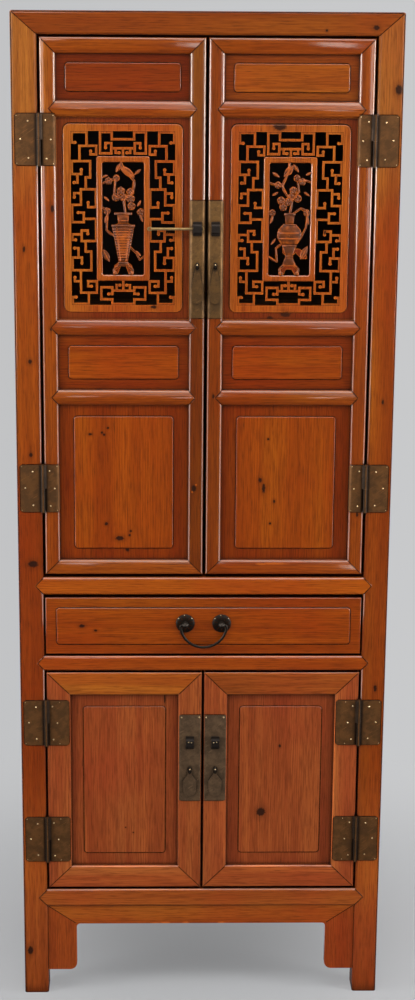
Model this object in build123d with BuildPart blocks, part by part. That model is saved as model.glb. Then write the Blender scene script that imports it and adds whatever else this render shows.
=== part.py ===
"""Tall Chinese book cabinet: mitred post-and-rail carcass, two latticed upper doors,
a drawer and two lower doors, with brass hinges, lock plates and a sliding lock pin.

Millimetres. +Z is up, the front faces -Y, and the origin is under the middle of the
whole outline on the floor. Left is -X, seen from the front.
"""
import os

from build123d import *

os.makedirs("parts", exist_ok=True)

# ---------------------------------------------------------------- driving dimensions
WIDTH = 700.0            # over the posts
HEIGHT = 1900.0          # floor to the top rails
DEPTH = 440.0            # front face of the front posts to back face of the rear posts
HANDLE_REACH = 20.0      # drawer handle posts, measured out from the front

POST = 47.5              # square posts, which run down to the floor as legs
POST_EDGE = 5.0          # rounding of the posts' and rails' long edges
TOP_RAIL = 42.0          # height of the mitred top frame
RAIL_DEPTH = 35.0        # thickness of the front rails
SIDE_RAIL_DEPTH = 30.0
BACK_RAIL_DEPTH = 26.0
TIP_DEPTH = 12.0         # thickness of the pointed shoulders at the rails' ends

UPPER_RAIL = (827.0, 862.0)      # under the upper doors
DRAWER_RAIL = (675.5, 706.0)     # under the drawer
BOTTOM_RAIL = (186.0, 223.0)     # under the lower doors
APRON_BOTTOM = 147.4
SPANDREL_BOTTOM = 48.5
SPANDREL_WIDTH = 56.5
SPANDREL_CORNER = 14.0
APRON_CORNER = 7.0               # inside corner where apron and spandrel meet
APRON_THICK = 14.0
APRON_SETBACK = 3.5

PANEL_THICK = 9.0
SIDE_PANEL_INSET = 8.0
FLOOR_THICK = 14.0
SHELF_TOP = 1346.0
SHELF_THICK = 16.0
SHELF_SETBACK = 6.0              # front edge behind the closed doors
BATTEN = (18.0, 22.0)            # width and height of the shelf battens
BATTEN_CHAMFER = 6.0

DOOR_SIDE_GAP = 3.0
MEETING_GAP = 4.0
UPPER_DOOR = (867.0, 1855.0)     # bottom and top edges
UPPER_FRAME = 29.0               # width of stiles and rails
UPPER_THICK = 24.0
UPPER_BOW = 1.6                  # crown of the frame's front face
UPPER_EDGE = 6.0                 # rounding of the frame's front edges
MID_RAIL_CENTRES = (1730.0, 1337.0, 1207.0)
LOWER_DOOR = (227.0, 672.0)
LOWER_FRAME = 45.0
LOWER_THICK = 24.0
LOWER_BOW = 0.8
LOWER_EDGE = 3.0
PANEL_RECESS = 8.0               # panel face behind the crest of the door frame
FIELD_RAISE = 2.0                # raised field of an upper panel
LOWER_FIELD_RAISE = 1.2
FIELD_CORNER = 6.0
FIELD_EDGE = 1.1

LATTICE_BORDER = (215.0, 338.0)  # raised border round the fretwork
LATTICE_OPENING = (188.0, 313.0)
LATTICE_BAR = 4.0
HOOK_END_RADIUS = 2.8            # round knob at the end of each fret hook
MEDALLION = (96.0, 224.0)        # outside of the medallion frame
MEDALLION_BAR = 10.5
MEDALLION_CORNER = 4.0
MEDALLION_CHAMFER = 1.5          # on both front edges of the medallion frame
FRET_DEPTH = 7.0
CARVING_DEPTH = 6.0

DRAWER_FRONT = (709.7, 821.3)
DRAWER_FRONT_WIDTH = 600.0
DRAWER_FRONT_THICK = 18.0
DRAWER_LENGTH = 372.0
DRAWER_SIDE_THICK = 12.0
DRAWER_SIDE_HEIGHT = 94.0
DRAWER_BOTTOM_THICK = 7.0
DRAWER_BOTTOM_LIFT = 4.0         # underside of the bottom above the sides' edges
DRAWER_EDGE = 2.0                # rounding of the front's outer edge
DRAWER_FIELD = (558.0, 72.0)
DRAWER_FIELD_TAPER = 30.0        # slope of the field's edge, degrees
RUNNER_TOP = 711.5
SLIDE_CLEARANCE = 0.5

PIN_RADIUS = 1.8
PIN_CLEARANCE = 0.05
PIN_HEAD_RADIUS = 2.8
PIN_HEAD_THICK = 1.2
PIN_HEAD_GAP = 0.3
KNUCKLE_GAP = 0.2                # each knuckle ends this far from the middle
KNUCKLE_NOTCH = 8.3              # width cut from a leaf beside the other knuckle
KNUCKLE_RADIUS = 3.75
PIN_PROUD = 3.0                  # pin axis in front of the carcass face
LEAF_THICK = 1.4
LEAF_CORNER = 4.0
UPPER_HINGES = ((1630.5, 1721.0), (990.0, 1079.5))
LOWER_HINGES = ((525.5, 615.5), (283.5, 375.0))
POST_LEAF_WIDTH = 42.0

PLATE_THICK = 1.2
PLATE_CORNER = 3.0
UPPER_PLATE = (1355.5, 1568.5)
LOWER_PLATE = (410.0, 586.0)
LOWER_PLATE_WIDTH = 42.0
STAPLE_WIDTH = 15.0              # along X
STAPLE_OPENING = (6.2, 13.4)     # clear depth and height inside the loop
STAPLE_STRAP = 2.4
STAPLE_FOOT = 25.0               # over the two feet
STAPLE_FOOT_THICK = 1.7
STAPLE_BEND = 4.0                # outside radius of the strap's two bends
UPPER_STAPLE_Z = 1518.0
LOWER_STAPLE_Z = 530.0
EYE_WIRE = 1.2                   # radius
EYE_HALF_HEIGHT = 4.2
EYE_REACH = 4.6
UPPER_EYE_Z = 1452.0
LOWER_EYE_Z = 475.0
PULL_THICK = 1.6
PULL_PIVOT = 2.4                 # pivot in front of the lock plate
PULL_HOLE = 3.6                  # radius of the hole that hangs on the eye
PULL_COLLAR = 1.6                # metal round that hole
PULL_NECK = (3.4, 4.2, 6.0)      # half width at the hole and below it, and its drop
PULL_FOOT = (1.2, 8.0)           # narrowing and rise of the rounded lower end

ROD_RADIUS = 2.4
ROD_LENGTH = 103.0
ROD_DRAWN_END = -4.5             # right end of the lock pin, drawn back clear of the gap
RING_RADIUS = 5.6                # outside, at the right end
RING_WIRE = 2.2                  # metal round the ring's hole
EYE_END = (11.0, 7.6)            # flattened eye at the left end
EYE_END_HOLE = 1.8               # radius
FLAT_END_THICK = 2.6

BAIL_SPREAD = 69.0
BAIL_PIVOT_Z = 771.0
BAIL_PIVOT_REACH = 12.5
BAIL_WIRE = 2.5                  # radius
BAIL_HALF_WIDTH = 43.5
BAIL_BEND = 3.5                  # bends start at the posts' outer sides
BAIL_SIDE_BEND = 26.0            # radius of the wire's lower corners
BAIL_BOTTOM = 724.7
BAIL_END_GAP = 1.0               # the wire ends short of the posts' inner sides
BAIL_BORE_CLEARANCE = 0.08
ROSETTE_RADIUS = 17.6
ROSETTE_THICK = 4.0
ROSETTE_RIM = 1.0                # thickness at the outer edge
ROSETTE_DOME = (12.5, 3.4)       # radius and thickness halfway up the dome
ROSETTE_FLAT = 8.0               # radius of the flat middle
BAIL_POST_RADIUS = 5.5
BAIL_POST_WAIST = (4.3, 2.4)     # radius of the waist, and its height on the rosette
BAIL_HEAD = (3.2, 3.4)           # post head behind and in front of the wire
BAIL_POST_TIP = 1.1              # radius of the worn point

# ---------------------------------------------------------------- derived places
FRONT = (HANDLE_REACH - DEPTH) / 2       # y of the carcass front
BACK = (HANDLE_REACH + DEPTH) / 2
CENTRE_Y = HANDLE_REACH / 2
SIDE = WIDTH / 2
POST_INNER = SIDE - POST
PIVOT_X = POST_INNER - DOOR_SIDE_GAP / 2
PIVOT_Y = FRONT - PIN_PROUD
DOOR_OUTER = POST_INNER - DOOR_SIDE_GAP
DOOR_INNER = MEETING_GAP / 2
DOOR_CENTRE = (DOOR_OUTER + DOOR_INNER) / 2
DOOR_WIDTH = DOOR_OUTER - DOOR_INNER
PANEL_Y = FRONT + PANEL_RECESS
LATTICE_Z = (MID_RAIL_CENTRES[0] + MID_RAIL_CENTRES[1]) / 2 + 1.0


# ---------------------------------------------------------------- shared shapes
def save(piece, name):
    """Label a finished piece and write it as its own STEP file."""
    piece.label = name
    export_step(piece, f"parts/{name}.step")


def front_face(x, z, y=FRONT):
    """Plane on a face that looks forward: x to the right, y up."""
    return Plane(origin=(x, y, z), x_dir=(1, 0, 0), z_dir=(0, -1, 0))


def side_face(y, z, x=-SIDE):
    """Plane on the left-hand outer face: x to the front, y up."""
    return Plane(origin=(x, y, z), x_dir=(0, -1, 0), z_dir=(-1, 0, 0))


def end_of(face, distance):
    """Plane square to a member, so far along it: x up the face, y into the wood."""
    start = face.from_local_coords((distance, 0, 0))
    return Plane(origin=start, x_dir=face.y_dir, z_dir=-face.x_dir)


def member_section(width, thickness, edge, bow=0.0):
    """Section of a frame member, face towards -y: bowed face, rounded front edges."""
    with BuildSketch() as section:
        with BuildLine():
            half = width / 2
            if bow:
                ThreePointArc((-half, bow), (0, 0), (half, bow))
            else:
                Line((-half, 0), (half, 0))
            Polyline((half, bow), (half, thickness), (-half, thickness), (-half, bow))
        make_face()
        fillet(section.vertices().group_by(Axis.Y)[0], radius=edge)
    return section.sketch


def tip_triangle(face, shoulder, half_height, direction):
    """Prism of one pointed shoulder, used to notch the upright that receives it."""
    with BuildPart() as tip:
        with BuildSketch(face):
            with BuildLine():
                Polyline(
                    (shoulder, half_height),
                    (shoulder + direction * half_height, 0),
                    (shoulder, -half_height),
                    close=True,
                )
            make_face()
        extrude(amount=-TIP_DEPTH)
    return tip.part


def pointed_rail(face, length, height, thickness, edge, bow=0.0):
    """Rail between two uprights with a 45 degree pointed shoulder on each end."""
    half = length / 2
    reach = height / 2
    with BuildPart() as rail:
        with BuildSketch(face):
            Rectangle(length, height)
        extrude(amount=-thickness)
        with BuildSketch(face):
            with BuildLine():
                Polyline(
                    (-half - reach, 0),
                    (-half, reach),
                    (half, reach),
                    (half + reach, 0),
                    (half, -reach),
                    (-half, -reach),
                    close=True,
                )
            make_face()
        extrude(amount=-TIP_DEPTH)
        with BuildSketch(end_of(face, half + reach)):
            add(member_section(height, thickness, edge, bow))
        extrude(amount=length + 2 * reach, mode=Mode.INTERSECT)
    return rail.part


def mitred_member(face, length, width, thickness, edge, bow=0.0):
    """Frame member whose two ends are mitred at 45 degrees, long side outwards (+y)."""
    half = length / 2
    with BuildPart() as member:
        with BuildSketch(face):
            with BuildLine():
                Polyline(
                    (-half, width / 2),
                    (half, width / 2),
                    (half - width, -width / 2),
                    (-half + width, -width / 2),
                    close=True,
                )
            make_face()
        extrude(amount=-thickness)
        with BuildSketch(end_of(face, half)):
            add(member_section(width, thickness, edge, bow))
        extrude(amount=length, mode=Mode.INTERSECT)
    return member.part


def span(low_high):
    """Middle and length of a low-high pair."""
    low, high = low_high
    return (low + high) / 2, high - low


def board(face, width, height, thickness):
    """Plain board hung back from the face plane."""
    with BuildPart() as plank:
        with BuildSketch(face):
            Rectangle(width, height)
        extrude(amount=-thickness)
    return plank.part


def group(*pieces):
    """Several separate solids that share one node."""
    return Compound(children=list(pieces))


def mirrored(piece):
    """The same piece on the other side of the cabinet's middle."""
    return mirror(piece, about=Plane.YZ, mode=Mode.PRIVATE)


# ---------------------------------------------------------------- carcass
def corner_mitres(sx, sy):
    """Planes through a top corner that part post, long rail and side rail.

    Each plane's positive side is the long rail's, except for the second, whose
    positive side is the side rail's.
    """
    corner = (sx * SIDE, CENTRE_Y + sy * DEPTH / 2, HEIGHT)
    post_to_long = Plane(origin=corner, z_dir=(-sx * TOP_RAIL, 0, POST))
    post_to_side = Plane(origin=corner, z_dir=(0, -sy * TOP_RAIL, POST))
    side_to_long = Plane(origin=corner, z_dir=(-sx, sy, 0))
    return post_to_long, post_to_side, side_to_long


RAIL_LEVELS = (UPPER_RAIL, DRAWER_RAIL, BOTTOM_RAIL)
SIDE_SPAN = DEPTH - 2 * POST


def left_post(sy, notched_front):
    """Left post at the front (sy = -1) or the rear (sy = 1), up to its top mitre."""
    outer_y = CENTRE_Y + sy * DEPTH / 2
    inner_y = outer_y - sy * POST
    notches = []
    for level in RAIL_LEVELS:
        middle, height = span(level)
        if notched_front:
            notches.append(tip_triangle(front_face(0, middle), -POST_INNER, height / 2, -1))
        shoulder = -sy * SIDE_SPAN / 2
        notches.append(tip_triangle(side_face(CENTRE_Y, middle), shoulder, height / 2, -sy))
    post_to_long, post_to_side, _ = corner_mitres(-1, sy)
    with BuildPart() as post:
        with BuildSketch() as section:
            with Locations((-SIDE + POST / 2, (outer_y + inner_y) / 2)):
                Rectangle(POST, POST)
            hidden = Vector(-POST_INNER, inner_y, 0)
            seen = section.vertices().sort_by_distance(hidden)[1:]
            fillet(seen, radius=POST_EDGE)
        extrude(amount=HEIGHT)
        for notch in notches:
            add(notch, mode=Mode.SUBTRACT)
        split(bisect_by=post_to_long, keep=Keep.BOTTOM)
        split(bisect_by=post_to_side, keep=Keep.BOTTOM)
    return post.part


front_post = left_post(-1, True)
rear_post = left_post(1, False)
save(group(front_post, mirrored(front_post)), "front_posts")
save(group(rear_post, mirrored(rear_post)), "rear_posts")


def top_long_rail(sy):
    """Front or back rail of the top frame, mitred three ways at both ends."""
    outer_y = CENTRE_Y + sy * DEPTH / 2
    face = Plane(
        origin=(0, outer_y, HEIGHT - TOP_RAIL / 2), x_dir=(-sy, 0, 0), z_dir=(0, sy, 0)
    )
    with BuildPart() as rail:
        with BuildSketch(end_of(face, SIDE)):
            add(member_section(TOP_RAIL, POST, POST_EDGE))
        extrude(amount=WIDTH)
        for sx in (-1, 1):
            post_to_long, _, side_to_long = corner_mitres(sx, sy)
            split(bisect_by=post_to_long, keep=Keep.TOP)
            split(bisect_by=side_to_long, keep=Keep.TOP)
    return rail.part


with BuildPart() as top_side_rail:
    with BuildSketch(end_of(side_face(CENTRE_Y, HEIGHT - TOP_RAIL / 2), DEPTH / 2)):
        add(member_section(TOP_RAIL, POST, POST_EDGE))
    extrude(amount=DEPTH)
    for end in (-1, 1):
        _, post_to_side, side_to_long = corner_mitres(-1, end)
        split(bisect_by=post_to_side, keep=Keep.TOP)
        split(bisect_by=side_to_long, keep=Keep.BOTTOM)

save(group(top_long_rail(-1), top_long_rail(1)), "top_long_rails")
save(group(top_side_rail.part, mirrored(top_side_rail.part)), "top_side_rails")

TOP_PANEL_DROP = 2.5
with BuildPart() as top_panel:
    with BuildSketch(Plane.XY.offset(HEIGHT - TOP_PANEL_DROP)):
        with Locations((0, CENTRE_Y)):
            Rectangle(2 * POST_INNER, SIDE_SPAN)
    extrude(amount=-PANEL_THICK)
save(top_panel.part, "top_panel")

for level, name in zip(RAIL_LEVELS, ("upper_front_rail", "drawer_rail", "bottom_front_rail")):
    middle, height = span(level)
    rail = pointed_rail(
        front_face(0, middle), 2 * POST_INNER, height, RAIL_DEPTH, POST_EDGE
    )
    save(rail, name)

side_rails = []
back_rails = []
for level in RAIL_LEVELS:
    middle, height = span(level)
    rail = pointed_rail(
        side_face(CENTRE_Y, middle), SIDE_SPAN, height, SIDE_RAIL_DEPTH, POST_EDGE
    )
    side_rails += [rail, mirrored(rail)]
    back_face = front_face(0, middle, BACK - BACK_RAIL_DEPTH)
    back_rails.append(board(back_face, 2 * POST_INNER, height, BACK_RAIL_DEPTH))
save(group(*side_rails), "side_rails")
save(group(*back_rails), "back_rails")

# Panels fill the three bays between the rails, at both sides and at the back.
BAYS = (
    (UPPER_RAIL[1], HEIGHT - TOP_RAIL),
    (DRAWER_RAIL[1], UPPER_RAIL[0]),
    (BOTTOM_RAIL[1], DRAWER_RAIL[0]),
)
side_panels = []
back_panels = []
for bay in BAYS:
    middle, height = span(bay)
    inset_face = side_face(CENTRE_Y, middle, -SIDE + SIDE_PANEL_INSET)
    panel = board(inset_face, SIDE_SPAN, height, PANEL_THICK)
    side_panels += [panel, mirrored(panel)]
    back_face = front_face(0, middle, BACK - SIDE_PANEL_INSET - PANEL_THICK)
    back_panels.append(board(back_face, 2 * POST_INNER, height, PANEL_THICK))
save(group(*side_panels), "side_panels")
save(group(*back_panels), "back_panels")


# ---------------------------------------------------------------- apron
APRON_TOP = BOTTOM_RAIL[0]
APRON_HALF = POST_INNER - SPANDREL_WIDTH
apron_face = front_face(0, 0, FRONT + APRON_SETBACK)

with BuildPart() as apron_blank:
    with BuildSketch(apron_face) as outline:
        with Locations((0, SPANDREL_BOTTOM)):
            Rectangle(
                2 * POST_INNER, APRON_TOP - SPANDREL_BOTTOM, align=(Align.CENTER, Align.MIN)
            )
            Rectangle(
                2 * APRON_HALF,
                APRON_BOTTOM - SPANDREL_BOTTOM,
                align=(Align.CENTER, Align.MIN),
                mode=Mode.SUBTRACT,
            )
        fillet(outline.vertices().group_by(Axis.Y)[1], radius=APRON_CORNER)
        feet = outline.vertices().group_by(Axis.Y)[0].sort_by(Axis.X)
        fillet(feet[1:3], radius=SPANDREL_CORNER)
    extrude(amount=-APRON_THICK)


def leg_mitre(sx):
    """Joint from a leg to the corner of the opening; its positive side is the apron's."""
    run = POST_INNER - APRON_HALF
    rise = APRON_TOP - APRON_BOTTOM
    return Plane(origin=(sx * APRON_HALF, FRONT, APRON_BOTTOM), z_dir=(-sx * rise, 0, run))


with BuildPart() as apron:
    add(apron_blank.part)
    split(bisect_by=leg_mitre(-1), keep=Keep.TOP)
    split(bisect_by=leg_mitre(1), keep=Keep.TOP)
save(apron.part, "front_apron")

with BuildPart() as spandrel:
    add(apron_blank.part)
    split(bisect_by=leg_mitre(-1), keep=Keep.BOTTOM)
save(group(spandrel.part, mirrored(spandrel.part)), "apron_spandrels")

apron_middle, apron_height = span((APRON_BOTTOM, APRON_TOP))
side_apron_face = side_face(CENTRE_Y, apron_middle, -SIDE + APRON_SETBACK)
side_apron = board(side_apron_face, SIDE_SPAN, apron_height, APRON_THICK)
save(group(side_apron, mirrored(side_apron)), "side_aprons")


# ---------------------------------------------------------------- floors and shelf
INSIDE_HALF = SIDE - SIDE_RAIL_DEPTH
FLOOR_FRONT = FRONT + RAIL_DEPTH
FLOOR_BACK = BACK - BACK_RAIL_DEPTH


def notched_board(half_width, front, back, top, thickness):
    """Level board that is notched round the four posts."""
    with BuildPart() as plank:
        with BuildSketch(Plane.XY.offset(top)):
            with Locations((0, (front + back) / 2)):
                Rectangle(2 * half_width, back - front)
            with Locations((0, CENTRE_Y)):
                with GridLocations(WIDTH - POST, DEPTH - POST, 2, 2):
                    Rectangle(POST, POST, mode=Mode.SUBTRACT)
        extrude(amount=-thickness)
    return plank.part


for level, name in ((UPPER_RAIL, "upper_floor"), (BOTTOM_RAIL, "lower_floor")):
    save(notched_board(INSIDE_HALF, FLOOR_FRONT, FLOOR_BACK, level[1], FLOOR_THICK), name)

SHELF_FRONT = FRONT + UPPER_THICK + SHELF_SETBACK
SHELF_BACK = BACK - SIDE_PANEL_INSET - PANEL_THICK
PANEL_INNER = SIDE - SIDE_PANEL_INSET - PANEL_THICK
save(notched_board(PANEL_INNER, SHELF_FRONT, SHELF_BACK, SHELF_TOP, SHELF_THICK), "shelf")

batten_width, batten_height = BATTEN
with BuildPart() as shelf_batten:
    with BuildSketch(Plane.XY.offset(SHELF_TOP - SHELF_THICK)):
        with Locations((-PANEL_INNER + batten_width / 2, CENTRE_Y)):
            Rectangle(batten_width, SIDE_SPAN)
    extrude(amount=-batten_height)
    lower_edges = shelf_batten.edges().filter_by(Axis.Y).group_by(Axis.Z)[0]
    chamfer(lower_edges.sort_by(Axis.X)[-1], BATTEN_CHAMFER)
save(group(shelf_batten.part, mirrored(shelf_batten.part)), "shelf_battens")


# ---------------------------------------------------------------- drawer runners
RUNNER_HEIGHT = 20.0
RUNNER_WIDTH = 34.0
GUIDE_WIDTH = 6.0
GUIDE_HEIGHT = 30.0
runner_length = FLOOR_BACK - FLOOR_FRONT
with BuildPart() as runner:
    with BuildSketch(Plane.XZ.offset(-FLOOR_FRONT)):
        with Locations((-POST_INNER, RUNNER_TOP)):
            Rectangle(RUNNER_WIDTH, RUNNER_HEIGHT, align=(Align.MIN, Align.MAX))
    extrude(amount=-runner_length)
with BuildPart() as guide:
    with BuildSketch(Plane.XZ.offset(-FLOOR_FRONT)):
        with Locations((-POST_INNER, RUNNER_TOP)):
            Rectangle(GUIDE_WIDTH, GUIDE_HEIGHT, align=(Align.MIN, Align.MIN))
    extrude(amount=-runner_length)
runner_set = [runner.part, guide.part]
save(group(*runner_set, *[mirrored(strip) for strip in runner_set]), "drawer_runners")


# ---------------------------------------------------------------- drawer
front_middle, front_height = span(DRAWER_FRONT)
DRAWER_FACE_Y = FRONT + FIELD_RAISE / 2
with BuildPart() as drawer_front:
    with BuildSketch(front_face(0, front_middle, DRAWER_FACE_Y)):
        Rectangle(DRAWER_FRONT_WIDTH, front_height)
    extrude(amount=-DRAWER_FRONT_THICK)
    rim = drawer_front.faces().sort_by(Axis.Y)[0].edges()
    fillet(rim, radius=DRAWER_EDGE)
    with BuildSketch(front_face(0, front_middle, DRAWER_FACE_Y)):
        RectangleRounded(DRAWER_FIELD[0], DRAWER_FIELD[1], FIELD_CORNER)
    extrude(amount=LOWER_FIELD_RAISE, taper=DRAWER_FIELD_TAPER)
save(drawer_front.part, "drawer_front")

DRAWER_BACK_Y = DRAWER_FACE_Y + DRAWER_FRONT_THICK
SIDE_X = POST_INNER - GUIDE_WIDTH - 2 * SLIDE_CLEARANCE
DRAWER_SIDE_BOTTOM = RUNNER_TOP + SLIDE_CLEARANCE
SIDE_END_Y = DRAWER_BACK_Y + DRAWER_LENGTH
with BuildPart() as drawer_side:
    with BuildSketch(Plane.XY.offset(DRAWER_SIDE_BOTTOM)):
        with Locations((-SIDE_X + DRAWER_SIDE_THICK / 2, (DRAWER_BACK_Y + SIDE_END_Y) / 2)):
            Rectangle(DRAWER_SIDE_THICK, DRAWER_LENGTH)
    extrude(amount=DRAWER_SIDE_HEIGHT)
inside_half = SIDE_X - DRAWER_SIDE_THICK
rear_face = front_face(
    0, DRAWER_SIDE_BOTTOM + DRAWER_SIDE_HEIGHT / 2, SIDE_END_Y - DRAWER_SIDE_THICK
)
drawer_rear = board(rear_face, 2 * inside_half, DRAWER_SIDE_HEIGHT, DRAWER_SIDE_THICK)
save(group(drawer_side.part, mirrored(drawer_side.part), drawer_rear), "drawer_box")

with BuildPart() as drawer_bottom:
    with BuildSketch(Plane.XY.offset(DRAWER_SIDE_BOTTOM + DRAWER_BOTTOM_LIFT)):
        with Locations((0, (DRAWER_BACK_Y + SIDE_END_Y - DRAWER_SIDE_THICK) / 2)):
            Rectangle(2 * inside_half, DRAWER_LENGTH - DRAWER_SIDE_THICK)
    extrude(amount=DRAWER_BOTTOM_THICK)
save(drawer_bottom.part, "drawer_bottom")

# Bail handle: two turned rosettes, two posts, and a wire bail hung between them.
BAIL_SEAT_Y = DRAWER_FACE_Y - LOWER_FIELD_RAISE
BAIL_PIVOT_Y = FRONT - BAIL_PIVOT_REACH
rosettes = []
bail_posts = []
for sx in (-1, 1):
    post_x = sx * BAIL_SPREAD / 2
    turning_axis = Axis((post_x, 0, BAIL_PIVOT_Z), (0, 1, 0))
    section_plane = Plane(
        origin=(post_x, BAIL_SEAT_Y, BAIL_PIVOT_Z), x_dir=(1, 0, 0), z_dir=(0, 0, 1)
    )
    with BuildPart() as rosette:
        with BuildSketch(section_plane):
            with BuildLine():
                Polyline((0, 0), (ROSETTE_RADIUS, 0), (ROSETTE_RADIUS, -ROSETTE_RIM))
                ThreePointArc(
                    (ROSETTE_RADIUS, -ROSETTE_RIM),
                    (ROSETTE_DOME[0], -ROSETTE_DOME[1]),
                    (ROSETTE_FLAT, -ROSETTE_THICK),
                )
                Polyline((ROSETTE_FLAT, -ROSETTE_THICK), (0, -ROSETTE_THICK), (0, 0))
            make_face()
        revolve(axis=turning_axis)
    rosettes.append(rosette.part)
    wire_y = BAIL_PIVOT_Y - BAIL_SEAT_Y
    tip_y = FRONT - HANDLE_REACH - BAIL_SEAT_Y
    with BuildPart() as bail_post:
        with BuildSketch(section_plane):
            with BuildLine():
                Polyline(
                    (0, -ROSETTE_THICK),
                    (BAIL_POST_RADIUS, -ROSETTE_THICK),
                    (BAIL_POST_WAIST[0], -ROSETTE_THICK - BAIL_POST_WAIST[1]),
                    (BAIL_POST_RADIUS, wire_y + BAIL_HEAD[0]),
                    (BAIL_POST_RADIUS, wire_y - BAIL_HEAD[1]),
                    (BAIL_POST_TIP, tip_y),
                    (0, tip_y),
                    close=True,
                )
            make_face()
        revolve(axis=turning_axis)
        wire_plane = Plane(origin=(post_x, BAIL_PIVOT_Y, BAIL_PIVOT_Z), z_dir=(1, 0, 0))
        with BuildSketch(wire_plane):
            Circle(BAIL_WIRE + BAIL_BORE_CLEARANCE)
        extrude(amount=2 * BAIL_POST_RADIUS, both=True, mode=Mode.SUBTRACT)
    bail_posts.append(bail_post.part)
save(group(*rosettes), "bail_rosettes")
save(group(*bail_posts), "bail_posts")

# The wire's lower part is an oval: two side arcs joined by a wider belly arc.
bail_plane = front_face(0, 0, BAIL_PIVOT_Y)
bail_inner = BAIL_SPREAD / 2 - BAIL_POST_RADIUS - BAIL_END_GAP
bend_z = BAIL_PIVOT_Z - BAIL_BEND
oval_depth = bend_z - BAIL_BOTTOM - BAIL_WIRE
side_centre = Vector(BAIL_HALF_WIDTH - BAIL_SIDE_BEND, bend_z)
belly_radius = (side_centre.X**2 + oval_depth**2 - BAIL_SIDE_BEND**2) / (
    2 * (oval_depth - BAIL_SIDE_BEND)
)
belly_centre = Vector(0, bend_z - oval_depth + belly_radius)
join = belly_centre + (side_centre - belly_centre).normalized() * belly_radius
with BuildPart() as bail:
    with BuildLine(bail_plane) as bail_path:
        left_end = Line((-bail_inner, BAIL_PIVOT_Z), (-BAIL_HALF_WIDTH + BAIL_BEND, BAIL_PIVOT_Z))
        left_bend = TangentArc(left_end @ 1, (-BAIL_HALF_WIDTH, bend_z), tangent=left_end % 1)
        left_side = TangentArc(left_bend @ 1, (-join.X, join.Y), tangent=left_bend % 1)
        belly = TangentArc(left_side @ 1, (join.X, join.Y), tangent=left_side % 1)
        right_side = TangentArc(belly @ 1, (BAIL_HALF_WIDTH, bend_z), tangent=belly % 1)
        right_bend = TangentArc(
            right_side @ 1, (BAIL_HALF_WIDTH - BAIL_BEND, BAIL_PIVOT_Z), tangent=right_side % 1
        )
        Line(right_bend @ 1, (bail_inner, BAIL_PIVOT_Z))
    with BuildSketch(Plane(origin=bail_path.line @ 0, z_dir=bail_path.line % 0)):
        Circle(BAIL_WIRE)
    sweep()
save(bail.part, "drawer_bail")


# ---------------------------------------------------------------- upper doors
def door_frame(x, low_high, frame, thick, edge, bow):
    """Mitred stiles and end rails of a door centred on x: (stiles, rails)."""
    middle, height = span(low_high)
    inset = DOOR_WIDTH / 2 - frame / 2
    left_stile = Plane(origin=(x - inset, FRONT, middle), x_dir=(0, 0, 1), z_dir=(0, -1, 0))
    right_stile = Plane(origin=(x + inset, FRONT, middle), x_dir=(0, 0, -1), z_dir=(0, -1, 0))
    top = front_face(x, low_high[1] - frame / 2)
    bottom = Plane(
        origin=(x, FRONT, low_high[0] + frame / 2), x_dir=(-1, 0, 0), z_dir=(0, -1, 0)
    )
    stiles = [
        mitred_member(face, height, frame, thick, edge, bow) for face in (left_stile, right_stile)
    ]
    rails = [mitred_member(face, DOOR_WIDTH, frame, thick, edge, bow) for face in (top, bottom)]
    return stiles, rails


def fielded_panel(x, zone, margin, frame, raise_by):
    """Board that fills an opening of the frame, with a raised field inside a margin."""
    middle, height = span(zone)
    width = DOOR_WIDTH - 2 * frame
    with BuildPart() as panel:
        with BuildSketch(front_face(x, middle, PANEL_Y)):
            Rectangle(width, height)
        extrude(amount=-PANEL_THICK)
        with BuildSketch(front_face(x, middle, PANEL_Y)):
            RectangleRounded(width - 2 * margin[0], height - 2 * margin[1], FIELD_CORNER)
        extrude(amount=raise_by)
        field_rim = panel.faces().sort_by(Axis.Y)[0].edges()
        fillet(field_rim, radius=FIELD_EDGE)
    return panel.part


# Fret bars of the left half, as centre lines from the middle of the opening (x, z).
FRET = (
    ((-86, 136), (-92, 136), (-92, 154.5), (-65, 154.5), (-65, 130)),
    ((-78, 103), (-78, 130), (-48, 130), (-48, 115), (-58, 115), (-58, 121)),
    ((-75, 88), (-75, 80), (-92, 80), (-92, 103), (-59, 103), (-59, 74), (-67, 74), (-67, 53)),
    ((-82, 80), (-82, 65), (-88, 65)),
    ((-63, 29), (-63, 21), (-49, 21), (-49, 53), (-76, 53), (-76, 25), (-92, 25), (-92, -6)),
    ((-92, -6), (-71, -6), (-71, 11), (-81, 11)),
    ((-76, 46), (-88, 46), (-88, 39)),
    ((-71, 0), (-49, 0), (-49, -40), (-75, -40), (-75, -21), (-64, -21), (-64, -27)),
    ((-75, -28), (-92, -28), (-92, -38), (-86, -38)),
    ((-68, -40), (-68, -59), (-58, -59), (-58, -93), (-92, -93), (-92, -70), (-75, -70)),
    ((-75, -70), (-75, -80)),
    ((-81, -70), (-81, -53), (-88, -53)),
    ((-77, -93), (-77, -134), (-48, -134), (-48, -113), (-64, -113), (-64, -122), (-58, -122)),
    ((-77, -113), (-88, -113), (-88, -106)),
    ((-63, -134), (-63, -154.5), (-92, -154.5), (-92, -142), (-86, -142)),
    ((-31, 127), (-31, 135), (-21, 135), (-21, 117), (-41, 117), (-41, 154.5), (-20, 154.5)),
    ((-20, 154.5), (-20, 142), (0, 142)),
    ((-21, 126), (0, 126), (0, 112)),
    ((-13, 126), (-13, 118), (-7, 118)),
    ((-27, -136), (-20, -136), (-20, -124), (-40, -124), (-40, -146), (-20, -146)),
    ((-20, -146), (-20, -154.5), (0, -154.5)),
    ((-20, -130), (0, -130), (0, -112)),
    ((-12, -130), (-12, -120), (-6, -120)),
)
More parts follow.
